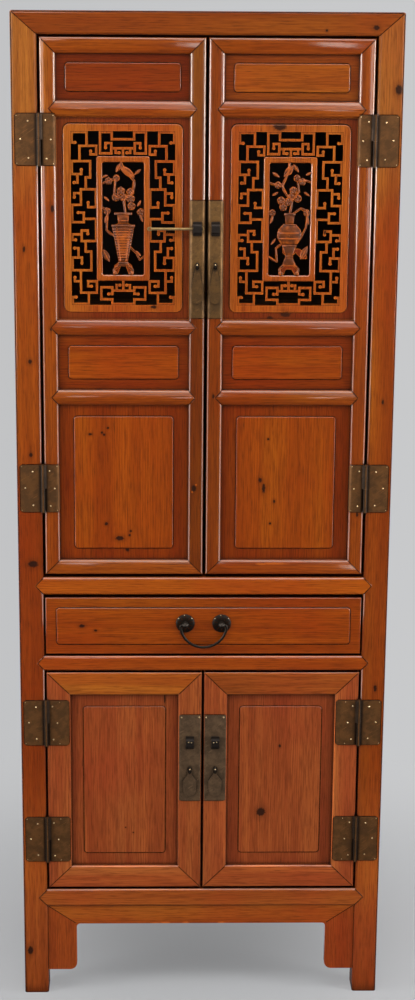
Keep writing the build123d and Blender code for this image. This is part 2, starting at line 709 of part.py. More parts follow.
# Free ends of the hooks, where the bar ends in a small round knob.
HOOK_ENDS = (
    (-86, 136), (-58, 121), (-75, 88), (-88, 65), (-63, 29), (-81, 11), (-88, 39), (-64, -27),
    (-86, -38), (-75, -80), (-88, -53), (-58, -122), (-88, -106), (-86, -142), (-31, 127),
    (-7, 118), (-27, -136), (-6, -120),
)


def fret_sketch():
    """All fret bars of the opening, the left half and its mirror image."""
    with BuildSketch() as fret:
        for path in FRET:
            for (xa, za), (xb, zb) in zip(path, path[1:]):
                long_x = abs(xb - xa) + LATTICE_BAR
                long_z = abs(zb - za) + LATTICE_BAR
                with Locations(((xa + xb) / 2, (za + zb) / 2)):
                    Rectangle(long_x, long_z)
        with Locations(*HOOK_ENDS):
            Circle(HOOK_END_RADIUS)
        mirror(about=Plane.YZ)
    return fret.sketch


def stem(points, width):
    """Stems of a carving: straight strips of one width from point to point."""
    with BuildSketch() as strips:
        for start, end in zip(points, points[1:]):
            run = Vector(*end) - Vector(*start)
            middle = (Vector(*start) + Vector(*end)) / 2
            angle = Vector(1, 0, 0).get_signed_angle(run, Vector(0, 0, 1))
            with Locations(Location((middle.X, middle.Y, 0), (0, 0, angle))):
                SlotCenterToCenter(run.length, width)
    return strips.sketch


def tapered_vase():
    """Tapered, straight-sided vase on two scroll feet, with a branch of blossoms."""
    branch = stem(((4, 8), (2, 34), (16, 46), (20, 68), (2, 88), (-4, 102)), 4)
    side_sprays = stem(((2, 34), (-16, 44), (-14, 70), (-28, 68), (-40, 62)), 3.5)
    ribbon_left = stem(((-17, -30), (-30, -20), (-28, 14), (-40, 22)), 3.5)
    ribbon_right = stem(((12, -50), (24, -62), (30, -74), (40, -66)), 3.5)
    with BuildSketch() as motif:
        with BuildLine():
            half = [
                (16, 11.5), (10, 6.5), (9, -8), (20.5, -12), (8, -78), (16, -84), (18, -100),
                (10, -100), (5, -86), (0, -86), (0, 11.5),
            ]
            Polyline(*half, close=True)
        make_face()
        mirror(about=Plane.YZ)
        for strips in (branch, side_sprays, ribbon_left, ribbon_right):
            add(strips)
        with Locations((-4, 50), (-13, 39), (2, 38), (14, 36), (13, 48), (15, 23)):
            Circle(7)
        with Locations((-26, 68), (-12, 73), (-29, 14), (31, 12)):
            Circle(6)
        with Locations(Location((8, 84, 0), (0, 0, -38))):
            Ellipse(15, 6)
        with Locations(Location((34, 12, 0), (0, 0, -60))):
            Ellipse(8, 5)
    return motif.sketch


def round_vase():
    """Round-bellied vase on a waisted stand, with blossoms and ribbons."""
    branch = stem(((0, 8), (4, 34), (-6, 44), (-14, 60), (-4, 84), (-2, 102)), 4)
    side_sprays = stem(((4, 34), (16, 50), (14, 66), (28, 70), (40, 66)), 3.5)
    ribbon_right = stem(((6, 10), (20, 20), (32, 12), (30, -14), (20, -34)), 3.5)
    ribbon_left = stem(((-14, -44), (-24, -52), (-22, -76), (-40, -66)), 3.5)
    twig = stem(((-14, 60), (-24, 62), (-40, 66)), 3.5)
    with BuildSketch() as motif:
        with BuildLine():
            half = [
                (9.5, 11.5), (7, 8), (7, -6), (12, -48), (12, -60), (6, -66), (8, -78), (16, -88),
                (18, -100), (10, -100), (5, -90), (0, -90), (0, 11.5),
            ]
            Polyline(*half, close=True)
        make_face()
        mirror(about=Plane.YZ)
        with Locations((0, -28)):
            Ellipse(22, 21)
        for strips in (branch, side_sprays, ribbon_right, ribbon_left, twig):
            add(strips)
        with Locations((-16, 34), (-12, 23), (2, 40), (14, 38), (-4, 32), (6, 52)):
            Circle(7)
        with Locations((-3, 86), (22, 68), (12, 74), (-22, 62), (-32, 12), (31, 12)):
            Circle(6)
        with Locations(Location((22, -62, 0), (0, 0, -40))):
            Ellipse(13, 6)
    return motif.sketch


def medallion_frame(crest):
    """Frame round the carving, chamfered along both front edges."""
    inner_width = MEDALLION[0] - 2 * MEDALLION_BAR
    inner_height = MEDALLION[1] - 2 * MEDALLION_BAR
    with BuildPart() as frame:
        with BuildSketch(crest):
            RectangleRounded(*MEDALLION, MEDALLION_CORNER)
            RectangleRounded(inner_width, inner_height, MEDALLION_CORNER, mode=Mode.SUBTRACT)
        extrude(amount=-FRET_DEPTH - FIELD_RAISE / 2)
        chamfer(frame.faces().sort_by(Axis.Y)[0].edges(), length=MEDALLION_CHAMFER)
    return frame.part


def lattice_board(x, motif):
    """Pierced board: raised border, key-fret bars, and a framed carving in the middle."""
    zone = (MID_RAIL_CENTRES[1] + UPPER_FRAME / 2, MID_RAIL_CENTRES[0] - UPPER_FRAME / 2)
    middle, height = span(zone)
    recess = front_face(x, LATTICE_Z, PANEL_Y)
    crest = front_face(x, LATTICE_Z, PANEL_Y - FIELD_RAISE)
    fret = fret_sketch()
    frame = medallion_frame(crest)
    with BuildPart() as lattice:
        with BuildSketch(front_face(x, middle, PANEL_Y)):
            Rectangle(DOOR_WIDTH - 2 * UPPER_FRAME, height)
        extrude(amount=-PANEL_THICK)
        with BuildSketch(recess):
            RectangleRounded(*LATTICE_BORDER, FIELD_CORNER * 2)
        extrude(amount=FIELD_RAISE)
        field_rim = lattice.faces().sort_by(Axis.Y)[0].edges()
        fillet(field_rim, radius=FIELD_EDGE)
        with BuildSketch(crest.offset(FIELD_RAISE)):
            Rectangle(*LATTICE_OPENING)
        extrude(amount=-3 * PANEL_THICK, mode=Mode.SUBTRACT)
        with BuildSketch(recess.offset(FIELD_RAISE / 2)):
            add(fret)
        extrude(amount=-FRET_DEPTH)
        add(frame)
        with BuildSketch(recess):
            add(motif)
            clear_width = MEDALLION[0] - MEDALLION_BAR
            clear_height = MEDALLION[1] - MEDALLION_BAR
            Rectangle(clear_width, clear_height, mode=Mode.INTERSECT)
        extrude(amount=-CARVING_DEPTH)
    return lattice.part


left_x = -DOOR_CENTRE
plain_stiles, end_rails = door_frame(
    left_x, UPPER_DOOR, UPPER_FRAME, UPPER_THICK, UPPER_EDGE, UPPER_BOW
)
inner_half = DOOR_WIDTH / 2 - UPPER_FRAME
mid_faces = [front_face(left_x, centre) for centre in MID_RAIL_CENTRES]
mid_rails = [
    pointed_rail(face, 2 * inner_half, UPPER_FRAME, UPPER_THICK, UPPER_EDGE, UPPER_BOW)
    for face in mid_faces
]
upper_stiles = []
for stile, direction in zip(plain_stiles, (-1, 1)):
    tips = [
        tip_triangle(face, direction * inner_half, UPPER_FRAME / 2, direction)
        for face in mid_faces
    ]
    with BuildPart() as notched:
        add(stile)
        for tip in tips:
            add(tip, mode=Mode.SUBTRACT)
    upper_stiles.append(notched.part)

# Each opening between two rails, from the top down, with the margin round its field.
half_frame = UPPER_FRAME / 2
rail_edges = [UPPER_DOOR[1] - half_frame, *MID_RAIL_CENTRES, UPPER_DOOR[0] + half_frame]
zones = [
    (low + half_frame, high - half_frame) for high, low in zip(rail_edges, rail_edges[1:])
]
top_zone, lattice_zone, middle_zone, low_zone = zones
panel_set = (
    fielded_panel(left_x, top_zone, (17.0, 16.0), UPPER_FRAME, FIELD_RAISE),
    fielded_panel(left_x, middle_zone, (19.0, 20.0), UPPER_FRAME, FIELD_RAISE),
    fielded_panel(left_x, low_zone, (28.0, 22.0), UPPER_FRAME, FIELD_RAISE),
)

save(group(*upper_stiles), "upper_left_stiles")
save(group(*[mirrored(stile) for stile in upper_stiles]), "upper_right_stiles")
upper_rails = end_rails + mid_rails
save(group(*upper_rails), "upper_left_rails")
save(group(*[mirrored(rail) for rail in upper_rails]), "upper_right_rails")
save(group(*panel_set), "upper_left_panels")
save(group(*[mirrored(panel) for panel in panel_set]), "upper_right_panels")
save(lattice_board(left_x, tapered_vase()), "upper_left_lattice")
save(lattice_board(-left_x, round_vase()), "upper_right_lattice")

# ---------------------------------------------------------------- lower doors
lower_stiles, lower_rails = door_frame(
    left_x, LOWER_DOOR, LOWER_FRAME, LOWER_THICK, LOWER_EDGE, LOWER_BOW
)
lower_zone = (LOWER_DOOR[0] + LOWER_FRAME, LOWER_DOOR[1] - LOWER_FRAME)
lower_panel = fielded_panel(left_x, lower_zone, (25.0, 26.0), LOWER_FRAME, LOWER_FIELD_RAISE)
save(group(*lower_stiles), "lower_left_stiles")
save(group(*[mirrored(stile) for stile in lower_stiles]), "lower_right_stiles")
save(group(*lower_rails), "lower_left_rails")
save(group(*[mirrored(rail) for rail in lower_rails]), "lower_right_rails")
save(lower_panel, "lower_left_panel")
save(mirrored(lower_panel), "lower_right_panel")


# ---------------------------------------------------------------- hinges
# Bend that joins the door leaf to its knuckle, in plan from the pin's axis (mm).
LEAF_BEND = ((0, -1.0), (2.5, -1.0), (6.5, 2.0), (6.5, 3.4), (1.6, 3.3), (0, 2.5))


def pivot_cylinder(radius, low, high):
    """Upright cylinder on the left-hand pivot axis."""
    with BuildPart() as cylinder:
        with BuildSketch(Plane.XY.offset(low)):
            with Locations((-PIVOT_X, PIVOT_Y)):
                Circle(radius)
        extrude(amount=high - low)
    return cylinder.part


def post_leaf(low, high):
    """Leaf on the post, with the lower knuckle; its outer corners are rounded."""
    split_z = (low + high) / 2
    outer_x = PIVOT_X + POST_LEAF_WIDTH
    barrel = pivot_cylinder(KNUCKLE_RADIUS, low, split_z - KNUCKLE_GAP)
    bore = pivot_cylinder(PIN_RADIUS + PIN_CLEARANCE, low, split_z)
    with BuildPart() as leaf:
        with BuildSketch(front_face(-(outer_x + PIVOT_X) / 2, split_z)) as plate:
            Rectangle(POST_LEAF_WIDTH, high - low)
            fillet(plate.vertices().group_by(Axis.X)[0], radius=LEAF_CORNER)
        extrude(amount=LEAF_THICK)
        with BuildSketch(front_face(-PIVOT_X, split_z - KNUCKLE_GAP)):
            Rectangle(KNUCKLE_NOTCH, high - low, align=(Align.CENTER, Align.MIN))
        extrude(amount=LEAF_THICK, mode=Mode.SUBTRACT)
        add(barrel)
        add(bore, mode=Mode.SUBTRACT)
    return leaf.part


def door_leaf(low, high, frame, thick, edge, bow, members):
    """Leaf bent over the door frame's members, with the upper knuckle."""
    split_z = (low + high) / 2
    knuckle_low = split_z + KNUCKLE_GAP
    stile_x = -DOOR_OUTER + frame / 2
    width = min(frame, POST_LEAF_WIDTH)
    barrel = pivot_cylinder(KNUCKLE_RADIUS, knuckle_low, high)
    bore = pivot_cylinder(PIN_RADIUS + PIN_CLEARANCE, knuckle_low, high)
    section_plane = Plane(origin=(stile_x, FRONT, low), x_dir=(1, 0, 0), z_dir=(0, 0, 1))
    pivot_plane = Plane(origin=(-PIVOT_X, PIVOT_Y, knuckle_low), z_dir=(0, 0, 1))
    with BuildPart() as leaf:
        with BuildSketch(section_plane):
            with Locations((0, -LEAF_THICK)):
                add(member_section(frame, thick, edge + LEAF_THICK, bow))
            add(member_section(frame, thick, edge, bow), mode=Mode.SUBTRACT)
        extrude(amount=high - low)
        outline_x = -DOOR_OUTER + width / 2
        with BuildSketch(front_face(outline_x, split_z, FRONT + thick)) as outline:
            Rectangle(width, high - low)
            fillet(outline.vertices().group_by(Axis.X)[-1], radius=LEAF_CORNER)
        extrude(amount=2 * thick, mode=Mode.INTERSECT)
        with BuildSketch(front_face(-PIVOT_X, knuckle_low, FRONT + thick)):
            Rectangle(KNUCKLE_NOTCH, high - low, align=(Align.CENTER, Align.MAX))
        extrude(amount=2 * thick, mode=Mode.SUBTRACT)
        add(barrel)
        with BuildSketch(pivot_plane):
            with BuildLine():
                Polyline(*LEAF_BEND, close=True)
            make_face()
        extrude(amount=high - knuckle_low)
        add(bore, mode=Mode.SUBTRACT)
        for member in members:
            add(member, mode=Mode.SUBTRACT)
    return leaf.part


def hinge_pin(low, high):
    """Pin with a small head at each end; the upper one clears the door's knuckle."""
    head_low = high + PIN_HEAD_GAP
    with BuildPart() as pin:
        add(pivot_cylinder(PIN_RADIUS, low, head_low))
        add(pivot_cylinder(PIN_HEAD_RADIUS, low - PIN_HEAD_THICK, low))
        add(pivot_cylinder(PIN_HEAD_RADIUS, head_low, head_low + PIN_HEAD_THICK))
    return pin.part


all_hinges = UPPER_HINGES + LOWER_HINGES
post_leaves = [post_leaf(*hinge) for hinge in all_hinges]
pins = [hinge_pin(*hinge) for hinge in all_hinges]
save(group(*post_leaves, *[mirrored(leaf) for leaf in post_leaves]), "post_hinge_leaves")
save(group(*pins, *[mirrored(pin) for pin in pins]), "hinge_pins")

upper_leaves = [
    door_leaf(
        *hinge, UPPER_FRAME, UPPER_THICK, UPPER_EDGE, UPPER_BOW, [upper_stiles[0], *upper_rails]
    )
    for hinge in UPPER_HINGES
]
lower_leaves = [
    door_leaf(
        *hinge, LOWER_FRAME, LOWER_THICK, LOWER_EDGE, LOWER_BOW, [lower_stiles[0], *lower_rails]
    )
    for hinge in LOWER_HINGES
]
save(group(*upper_leaves), "upper_left_hinge_leaves")
save(group(*[mirrored(leaf) for leaf in upper_leaves]), "upper_right_hinge_leaves")
save(group(*lower_leaves), "lower_left_hinge_leaves")
save(group(*[mirrored(leaf) for leaf in lower_leaves]), "lower_right_hinge_leaves")


# ---------------------------------------------------------------- lock plates
def lock_plate(low_high, frame, width, thick, edge, bow):
    """Plate bent over the face of the meeting stile of the left door."""
    middle, height = span(low_high)
    stile_x = -DOOR_INNER - frame / 2
    section_plane = Plane(origin=(stile_x, FRONT, low_high[0]), x_dir=(1, 0, 0), z_dir=(0, 0, 1))
    with BuildPart() as plate:
        with BuildSketch(section_plane):
            with Locations((0, -PLATE_THICK)):
                add(member_section(frame, thick, edge + PLATE_THICK, bow))
            add(member_section(frame, thick, edge, bow), mode=Mode.SUBTRACT)
        extrude(amount=height)
        with BuildSketch(front_face(stile_x, middle, FRONT + thick)):
            RectangleRounded(width, height, PLATE_CORNER)
        extrude(amount=2 * thick, mode=Mode.INTERSECT)
    return plate.part


def strap_staple(x, z, plate):
    """Strap bent into a loop round the way of the lock pin, with two flat feet."""
    depth, clear = STAPLE_OPENING
    outline_plane = Plane.YZ.offset(x - STAPLE_WIDTH / 2)
    root_y = FRONT - PLATE_THICK / 2
    to_strap = (Align.MAX, Align.CENTER)
    with BuildPart() as loop:
        with BuildSketch(outline_plane) as outline:
            with Locations((root_y, z)):
                reach = depth + STAPLE_STRAP + PLATE_THICK / 2
                Rectangle(reach, clear + 2 * STAPLE_STRAP, align=to_strap)
                fillet(outline.vertices().group_by(Axis.X)[0], radius=STAPLE_BEND)
                Rectangle(STAPLE_FOOT_THICK + PLATE_THICK / 2, STAPLE_FOOT, align=to_strap)
        extrude(amount=STAPLE_WIDTH)
        with BuildSketch(outline_plane) as hole:
            with Locations((root_y, z)):
                Rectangle(depth + PLATE_THICK / 2, clear, align=to_strap)
            fillet(hole.vertices().group_by(Axis.X)[0], radius=STAPLE_BEND - STAPLE_STRAP)
        extrude(amount=STAPLE_WIDTH, mode=Mode.SUBTRACT)
        add(plate, mode=Mode.SUBTRACT)
    return loop.part


def pull_eye(x, z, plate):
    """Small wire staple that carries a pull: two legs and a bend in the y-z plane."""
    seat = FRONT - PLATE_THICK
    start_y = seat + PLATE_THICK / 2
    reach_y = seat - EYE_REACH
    with BuildPart() as eye:
        with BuildLine(Plane.YZ.offset(x)) as path:
            leg = Line((start_y, z - EYE_HALF_HEIGHT), (reach_y, z - EYE_HALF_HEIGHT))
            ThreePointArc(
                leg @ 1, (reach_y - EYE_HALF_HEIGHT * 0.8, z), (reach_y, z + EYE_HALF_HEIGHT)
            )
            Line((reach_y, z + EYE_HALF_HEIGHT), (start_y, z + EYE_HALF_HEIGHT))
        with BuildSketch(Plane(origin=path.line @ 0, z_dir=path.line % 0)):
            Circle(EYE_WIRE)
        sweep()
        add(plate, mode=Mode.SUBTRACT)
    return eye.part


def pull(x, z, length, shoulder_width, shoulder_drop):
    """Flat leaf-shaped pull with a round hole at its top, hung on its eye."""
    pivot_y = FRONT - PLATE_THICK - PULL_PIVOT
    hole_z = z - PULL_HOLE - PULL_COLLAR / 2
    shoulder = (shoulder_width / 2, z - shoulder_drop)
    foot = (shoulder[0] - PULL_FOOT[0], z - length + PULL_FOOT[1])
    neck_top, neck_low, neck_drop = PULL_NECK
    with BuildPart() as leaf:
        with BuildSketch(front_face(x, 0, pivot_y - PULL_THICK / 2)):
            with BuildLine():
                Polyline((0, hole_z), (neck_top, hole_z), (neck_low, hole_z - neck_drop), shoulder, foot)
                ThreePointArc(foot, (0, z - length), (-foot[0], foot[1]))
                Polyline(
                    (-foot[0], foot[1]),
                    (-shoulder[0], shoulder[1]),
                    (-neck_low, hole_z - neck_drop),
                    (-neck_top, hole_z),
                    (0, hole_z),
                )
            make_face()
            with Locations((0, hole_z)):
                Circle(PULL_HOLE + PULL_COLLAR)
                Circle(PULL_HOLE, mode=Mode.SUBTRACT)
        extrude(amount=-PULL_THICK)
    return leaf.part


def lock_fittings(level, low_high, frame, width, thick, edge, bow, staple_z, eye_z, leaf):
    """Plate, staples and pull of one pair of doors: the left set and its mirror image."""
    plate = lock_plate(low_high, frame, width, thick, edge, bow)
    stile_x = -DOOR_INNER - frame / 2
    staples = (strap_staple(stile_x, staple_z, plate), pull_eye(stile_x, eye_z, plate))
    hanging = pull(stile_x, eye_z, *leaf)
    save(plate, f"{level}_left_lock_plate")
    save(mirrored(plate), f"{level}_right_lock_plate")
    save(group(*staples), f"{level}_left_staples")
    save(group(*[mirrored(staple) for staple in staples]), f"{level}_right_staples")
    save(hanging, f"{level}_left_pull")
    save(mirrored(hanging), f"{level}_right_pull")


UPPER_PULL = (70.0, 21.0, 42.0)      # length, shoulder width, drop to the shoulder
LOWER_PULL = (54.0, 27.0, 24.0)
lock_fittings(
    "upper", UPPER_PLATE, UPPER_FRAME, UPPER_FRAME, UPPER_THICK, UPPER_EDGE, UPPER_BOW,
    UPPER_STAPLE_Z, UPPER_EYE_Z, UPPER_PULL,
)
lock_fittings(
    "lower", LOWER_PLATE, LOWER_FRAME, LOWER_PLATE_WIDTH, LOWER_THICK, LOWER_EDGE, LOWER_BOW,
    LOWER_STAPLE_Z, LOWER_EYE_Z, LOWER_PULL,
)

# ---------------------------------------------------------------- lock pin
ROD_Y = FRONT - PLATE_THICK - STAPLE_OPENING[0] / 2
ring_x = ROD_DRAWN_END - RING_RADIUS
eye_x = ROD_DRAWN_END - ROD_LENGTH + EYE_END[0] / 2
rod_start_x = eye_x + EYE_END_HOLE
rod_length = ring_x - RING_RADIUS + RING_WIRE / 2 - rod_start_x
with BuildPart() as lock_pin:
    with BuildSketch(Plane.YZ.offset(rod_start_x)):
        with Locations((ROD_Y, UPPER_STAPLE_Z)):
            Circle(ROD_RADIUS)
    extrude(amount=rod_length)
    with BuildSketch(front_face(0, UPPER_STAPLE_Z, ROD_Y)):
        with Locations((ring_x, 0)):
            Circle(RING_RADIUS)
        with Locations((eye_x, 0)):
            Ellipse(EYE_END[0] / 2, EYE_END[1] / 2)
    extrude(amount=FLAT_END_THICK / 2, both=True)
    with BuildSketch(front_face(0, UPPER_STAPLE_Z, ROD_Y)):
        with Locations((ring_x, 0)):
            Circle(RING_RADIUS - RING_WIRE)
        with Locations((eye_x, 0)):
            Circle(EYE_END_HOLE)
    extrude(amount=2 * FLAT_END_THICK, both=True, mode=Mode.SUBTRACT)
save(lock_pin.part, "lock_pin")
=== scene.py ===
"""Chinese book cabinet: finishes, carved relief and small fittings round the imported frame.

Laid out as an add-on: property groups hold the sizes and colours, one operator makes each
piece or group of like pieces, and a panel in the sidebar lists them.
"""

import math

import bmesh
import bpy
from bpy.props import FloatProperty, FloatVectorProperty, PointerProperty
from bpy.types import Operator, Panel, PropertyGroup
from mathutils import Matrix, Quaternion, Vector
from mathutils.bvhtree import BVHTree


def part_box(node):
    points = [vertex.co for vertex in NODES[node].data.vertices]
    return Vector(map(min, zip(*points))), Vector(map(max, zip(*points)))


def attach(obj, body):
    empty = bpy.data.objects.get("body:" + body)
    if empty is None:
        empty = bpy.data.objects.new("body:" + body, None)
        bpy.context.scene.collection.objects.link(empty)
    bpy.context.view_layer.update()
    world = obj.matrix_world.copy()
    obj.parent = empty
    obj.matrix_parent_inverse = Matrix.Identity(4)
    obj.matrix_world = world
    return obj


bl_info = {
    "name": "Chinese book cabinet",
    "version": (1, 0, 0),
    "blender": (4, 5, 0),
    "location": "3D View > Sidebar > Cabinet",
    "description": "Finishes, carving and fittings of a lacquered book cabinet",
    "category": "Object",
}

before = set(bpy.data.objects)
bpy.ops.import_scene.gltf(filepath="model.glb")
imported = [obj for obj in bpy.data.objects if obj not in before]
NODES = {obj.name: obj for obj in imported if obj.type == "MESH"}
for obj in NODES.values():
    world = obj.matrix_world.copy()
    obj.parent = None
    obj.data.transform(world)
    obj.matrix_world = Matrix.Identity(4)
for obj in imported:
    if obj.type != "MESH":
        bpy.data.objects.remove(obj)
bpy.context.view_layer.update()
MM = 0.001
SIDES = ("left", "right")


def sign_of(side):
    """-1 for the left door of a pair, 1 for the right one."""
    return -1 if side == "left" else 1


# ------------------------------------------------------------------ sizes and colours
def colour(label, about, value):
    """Colour property, with its linear red, green and blue."""
    return FloatVectorProperty(
        name=label, description=about, default=value, size=3, min=0.0, max=1.0, subtype="COLOR"
    )


def length(label, about, value):
    """Length property, in metres."""
    return FloatProperty(name=label, description=about, default=value, min=0.0, unit="LENGTH")


def share(label, about, value, highest=1.0):
    """Plain factor."""
    return FloatProperty(
        name=label, description=about, default=value, min=0.0, max=highest, subtype="FACTOR"
    )


def power(label, about, value):
    """Power property of a lamp, in watts."""
    return FloatProperty(name=label, description=about, default=value, min=0.0, unit="POWER")


class CABINET_PG_stage(PropertyGroup):
    """Camera, floor, backdrop and lamps."""

    camera_place: FloatVectorProperty(
        name="Camera place", description="Where the camera stands",
        default=(-0.0982, -3.7071, 1.8864), size=3, subtype="XYZ", unit="LENGTH",
    )
    camera_aim: FloatVectorProperty(
        name="Camera aim", description="Point that the camera looks at",
        default=(-0.0195, -0.2100, 1.0128), size=3, subtype="XYZ", unit="LENGTH",
    )
    camera_roll: FloatProperty(
        name="Camera roll", description="Turn about the line of sight",
        default=math.radians(0.3695), subtype="ANGLE",
    )
    lens: FloatProperty(name="Lens", description="Focal length in mm", default=69.36, min=1.0)
    shift: FloatProperty(name="Shift", description="Sideways shift of the lens", default=0.0135)
    floor_colour: colour("Floor", "Paint of the studio floor", (0.33, 0.355, 0.405))
    backdrop_colour: colour("Backdrop", "Pale wall behind the cabinet", (0.555, 0.560, 0.570))
    room_colour: colour("Room", "Dimmer room behind the camera", (0.06, 0.06, 0.063))
    floor_reach: length("Floor reach", "Half width of the floor", 30.0)
    floor_share: share("Floor glow", "Share of backdrop in the floor under the cabinet", 0.34)
    floor_fade_end: length("Fade end", "Where the floor has become backdrop", 1.15)
    lamp_colour: colour("Lamps", "Warm white of the lamps", (1.0, 0.95, 0.86))
    fill_strength: share("Fill", "Light of the whole room on the cabinet", 0.20, 5.0)
    side_power: power("Side softboxes", "Power of each tall side softbox", 36.0)
    wall_power: power("Side walls", "Power of the bright walls, seen only in reflections", 95.0)
    low_wall_power: power("Low walls", "Power of the dimmer foot of those walls", 45.0)
    high_wall_power: power("High wall", "Power of the wall high behind the camera", 90.0)
    strip_power: power("Strips", "Power of the strips beside the camera", 12.0)
    ceiling_power: power("Ceiling", "Power of the ceiling, seen only in reflections", 280.0)
    front_power: power("Front light", "Power of the broad front light", 28.5)
    back_power: power("Back light", "Power of the light on the back", 30.0)
    top_power: power("Top light", "Power of the light above the front", 34.0)


class CABINET_PG_wood(PropertyGroup):
    """Lacquered and plain wood."""

    case_wood: colour("Case", "Posts and rails of the case", (0.314, 0.058, 0.0036))
    upper_wood: colour("Upper doors", "Frames of the upper doors", (0.299, 0.056, 0.0034))
    lower_wood: colour("Lower doors", "Redder wood of the lower doors", (0.336, 0.070, 0.0145))
    panel_wood: colour("Panels", "Fields of the door panels", (0.335, 0.058, 0.0023))
    lattice_wood: colour("Fretwork", "Orange wood of the fretwork", (0.420, 0.090, 0.0080))
    carving_wood: colour("Carvings", "Red brown of the carved vases", (0.150, 0.034, 0.0050))
    inner_wood: colour("Inside", "Dark stained boards inside", (0.060, 0.030, 0.0150))
    # Besides real wax in pores, knots and lines, this near-black paints the shade in corners.
    wax: colour("Dark wax", "Old wax and dirt in the corners", (0.016, 0.0050, 0.0022))
    edge_round: length("Edge rounding", "Rounding of the arrises", 0.5 * MM)
    field_round: length("Field rounding", "Rounding of the raised fields", 1.4 * MM)
    fret_round: length("Fret rounding", "Rounding of the fret bars", 1.7 * MM)
    coat: share("Lacquer", "Strength of the clear lacquer", 1.0)
    coat_roughness: share("Lacquer haze", "Softness of the lacquer's reflections", 0.11)
    ring_spacing: length("Ring spacing", "Distance between growth rings", 4.5 * MM)
    line_width: length("Wax line", "Width of the dark line round a field", 1.5 * MM)
    seam_width: length("Seam", "Width of the dark line along a joint", 1.4 * MM)
    line_rise: length("Wax line rise", "Thickness of the wax line", 0.25 * MM)


class CABINET_PG_metal(PropertyGroup):
    """Brass and bronze fittings."""

    plate_brass: colour("Upper plates", "Olive brass of the upper lock plates", (0.120, 0.062, 0.0210))
    dark_plate: colour("Lower plates", "Browned brass of the lower plates", (0.086, 0.053, 0.0300))
    hinge_brass: colour("Hinges", "Brown brass of the hinges", (0.090, 0.039, 0.0120))
    rod_brass: colour("Lock pin", "Rubbed brass of the lock pin", (0.200, 0.130, 0.055))
    strap_bronze: colour("Straps", "Almost black hammered straps", (0.012, 0.009, 0.008))
    bail_bronze: colour("Handle", "Dark bronze of the drawer handle", (0.010, 0.007, 0.005))
    # Also the colour of the bright domes that paint glints.
    nail_brass: colour("Nails", "Bright heads of the nails", (0.560, 0.420, 0.240))
    patina: colour("Patina", "Dark tarnish", (0.020, 0.013, 0.009))
    nail_radius: length("Nail radius", "Radius of a nail head", 1.45 * MM)
    nail_rise: length("Nail rise", "Height of a nail head", 0.9 * MM)
    strap_round: length("Strap rounding", "Rounding of the straps", 1.5 * MM)
    metal_share: share("Bare metal", "How metallic the tarnished sheet looks", 0.22)


def settings():
    """(stage, wood, metal) of this scene."""
    scene = bpy.context.scene
    return scene.cabinet_stage, scene.cabinet_wood, scene.cabinet_metal


# ------------------------------------------------------------------ shader helpers
class Recipe:
    """Node tree of a finish, built up by short calls."""

    def __init__(self, tree):
        self.tree = tree
        self.tree.nodes.clear()

    def node(self, kind, inputs=None, **options):
        """New shader node with options and input values or links."""
        made = self.tree.nodes.new("ShaderNode" + kind)
        for key, value in options.items():
            setattr(made, key, value)
        for key, value in (inputs or {}).items():
            self.feed(made.inputs[key], value)
        return made

    def feed(self, socket, value):
        """Links an output to socket, or sets its value."""
        if isinstance(value, bpy.types.NodeSocket):
            self.tree.links.new(value, socket)
        else:
            socket.default_value = value

    def maths(self, operation, first, second=0.0):
        """Result of one Math node."""
        return self.node("Math", {0: first, 1: second}, operation=operation).outputs[0]

    def vector(self, operation, first, second):
        """Result of one Vector Math node."""
        return self.node("VectorMath", {0: first, 1: second}, operation=operation).outputs[0]

    def place(self):
        """Place on the object, in metres."""
        return self.node("TexCoord").outputs["Object"]

    def part(self, vector, axis):
        """One coordinate of a vector."""
        return self.node("SeparateXYZ", {0: vector}).outputs[axis]

    def noise(self, position, scale, detail=3.0, roughness=0.5):
        """Noise value from 0 to 1."""
        sockets = {"Vector": position, "Scale": scale, "Detail": detail, "Roughness": roughness}
        return self.node("TexNoise", sockets).outputs[0]

    def fade(self, value, start, end, low=0.0, high=1.0):
        """Value carried smoothly from start..end to low..high."""
        sockets = {"Value": value, 1: start, 2: end, 3: low, 4: high}
        return self.node("MapRange", sockets, interpolation_type="SMOOTHSTEP").outputs[0]

    def scaled(self, value, factor):
        """Value times a factor."""
        return self.maths("MULTIPLY", value, factor)

    def mix(self, amount, first, second, blend="MIX"):
        """Two colours mixed."""
        made = self.node("Mix", data_type="RGBA", blend_type=blend)
        for index, value in ((0, amount), (6, first), (7, second)):
            self.feed(made.inputs[index], value)
        return made.outputs[2]

    def over(self, body, value, fade, laid):
        """The colour body, with another laid over it where value has faded in."""
        return self.mix(self.fade(value, *fade), body, laid)

    def occlusion(self, distance, inside=False):
        """How open the surface is, 1 where nothing is near."""
        made = self.node("AmbientOcclusion", {"Distance": distance}, samples=6, inside=inside)
        return made.outputs["AO"]


def opaque(rgb, factor=1.0):
    """Linear colour with alpha, scaled by factor."""
    return (rgb[0] * factor, rgb[1] * factor, rgb[2] * factor, 1.0)


def tinted(rgb, factors):
    """Linear colour with each channel times its factor."""
    return tuple(channel * factor for channel, factor in zip(rgb, factors))


def start_finish(name):
    """New material, its recipe and its main shader."""
    material = bpy.data.materials.new(name)
    material.use_nodes = True
    recipe = Recipe(material.node_tree)
    shader = recipe.node("BsdfPrincipled")
    output = recipe.node("OutputMaterial")
    recipe.feed(output.inputs["Surface"], shader.outputs[0])
    return material, recipe, shader


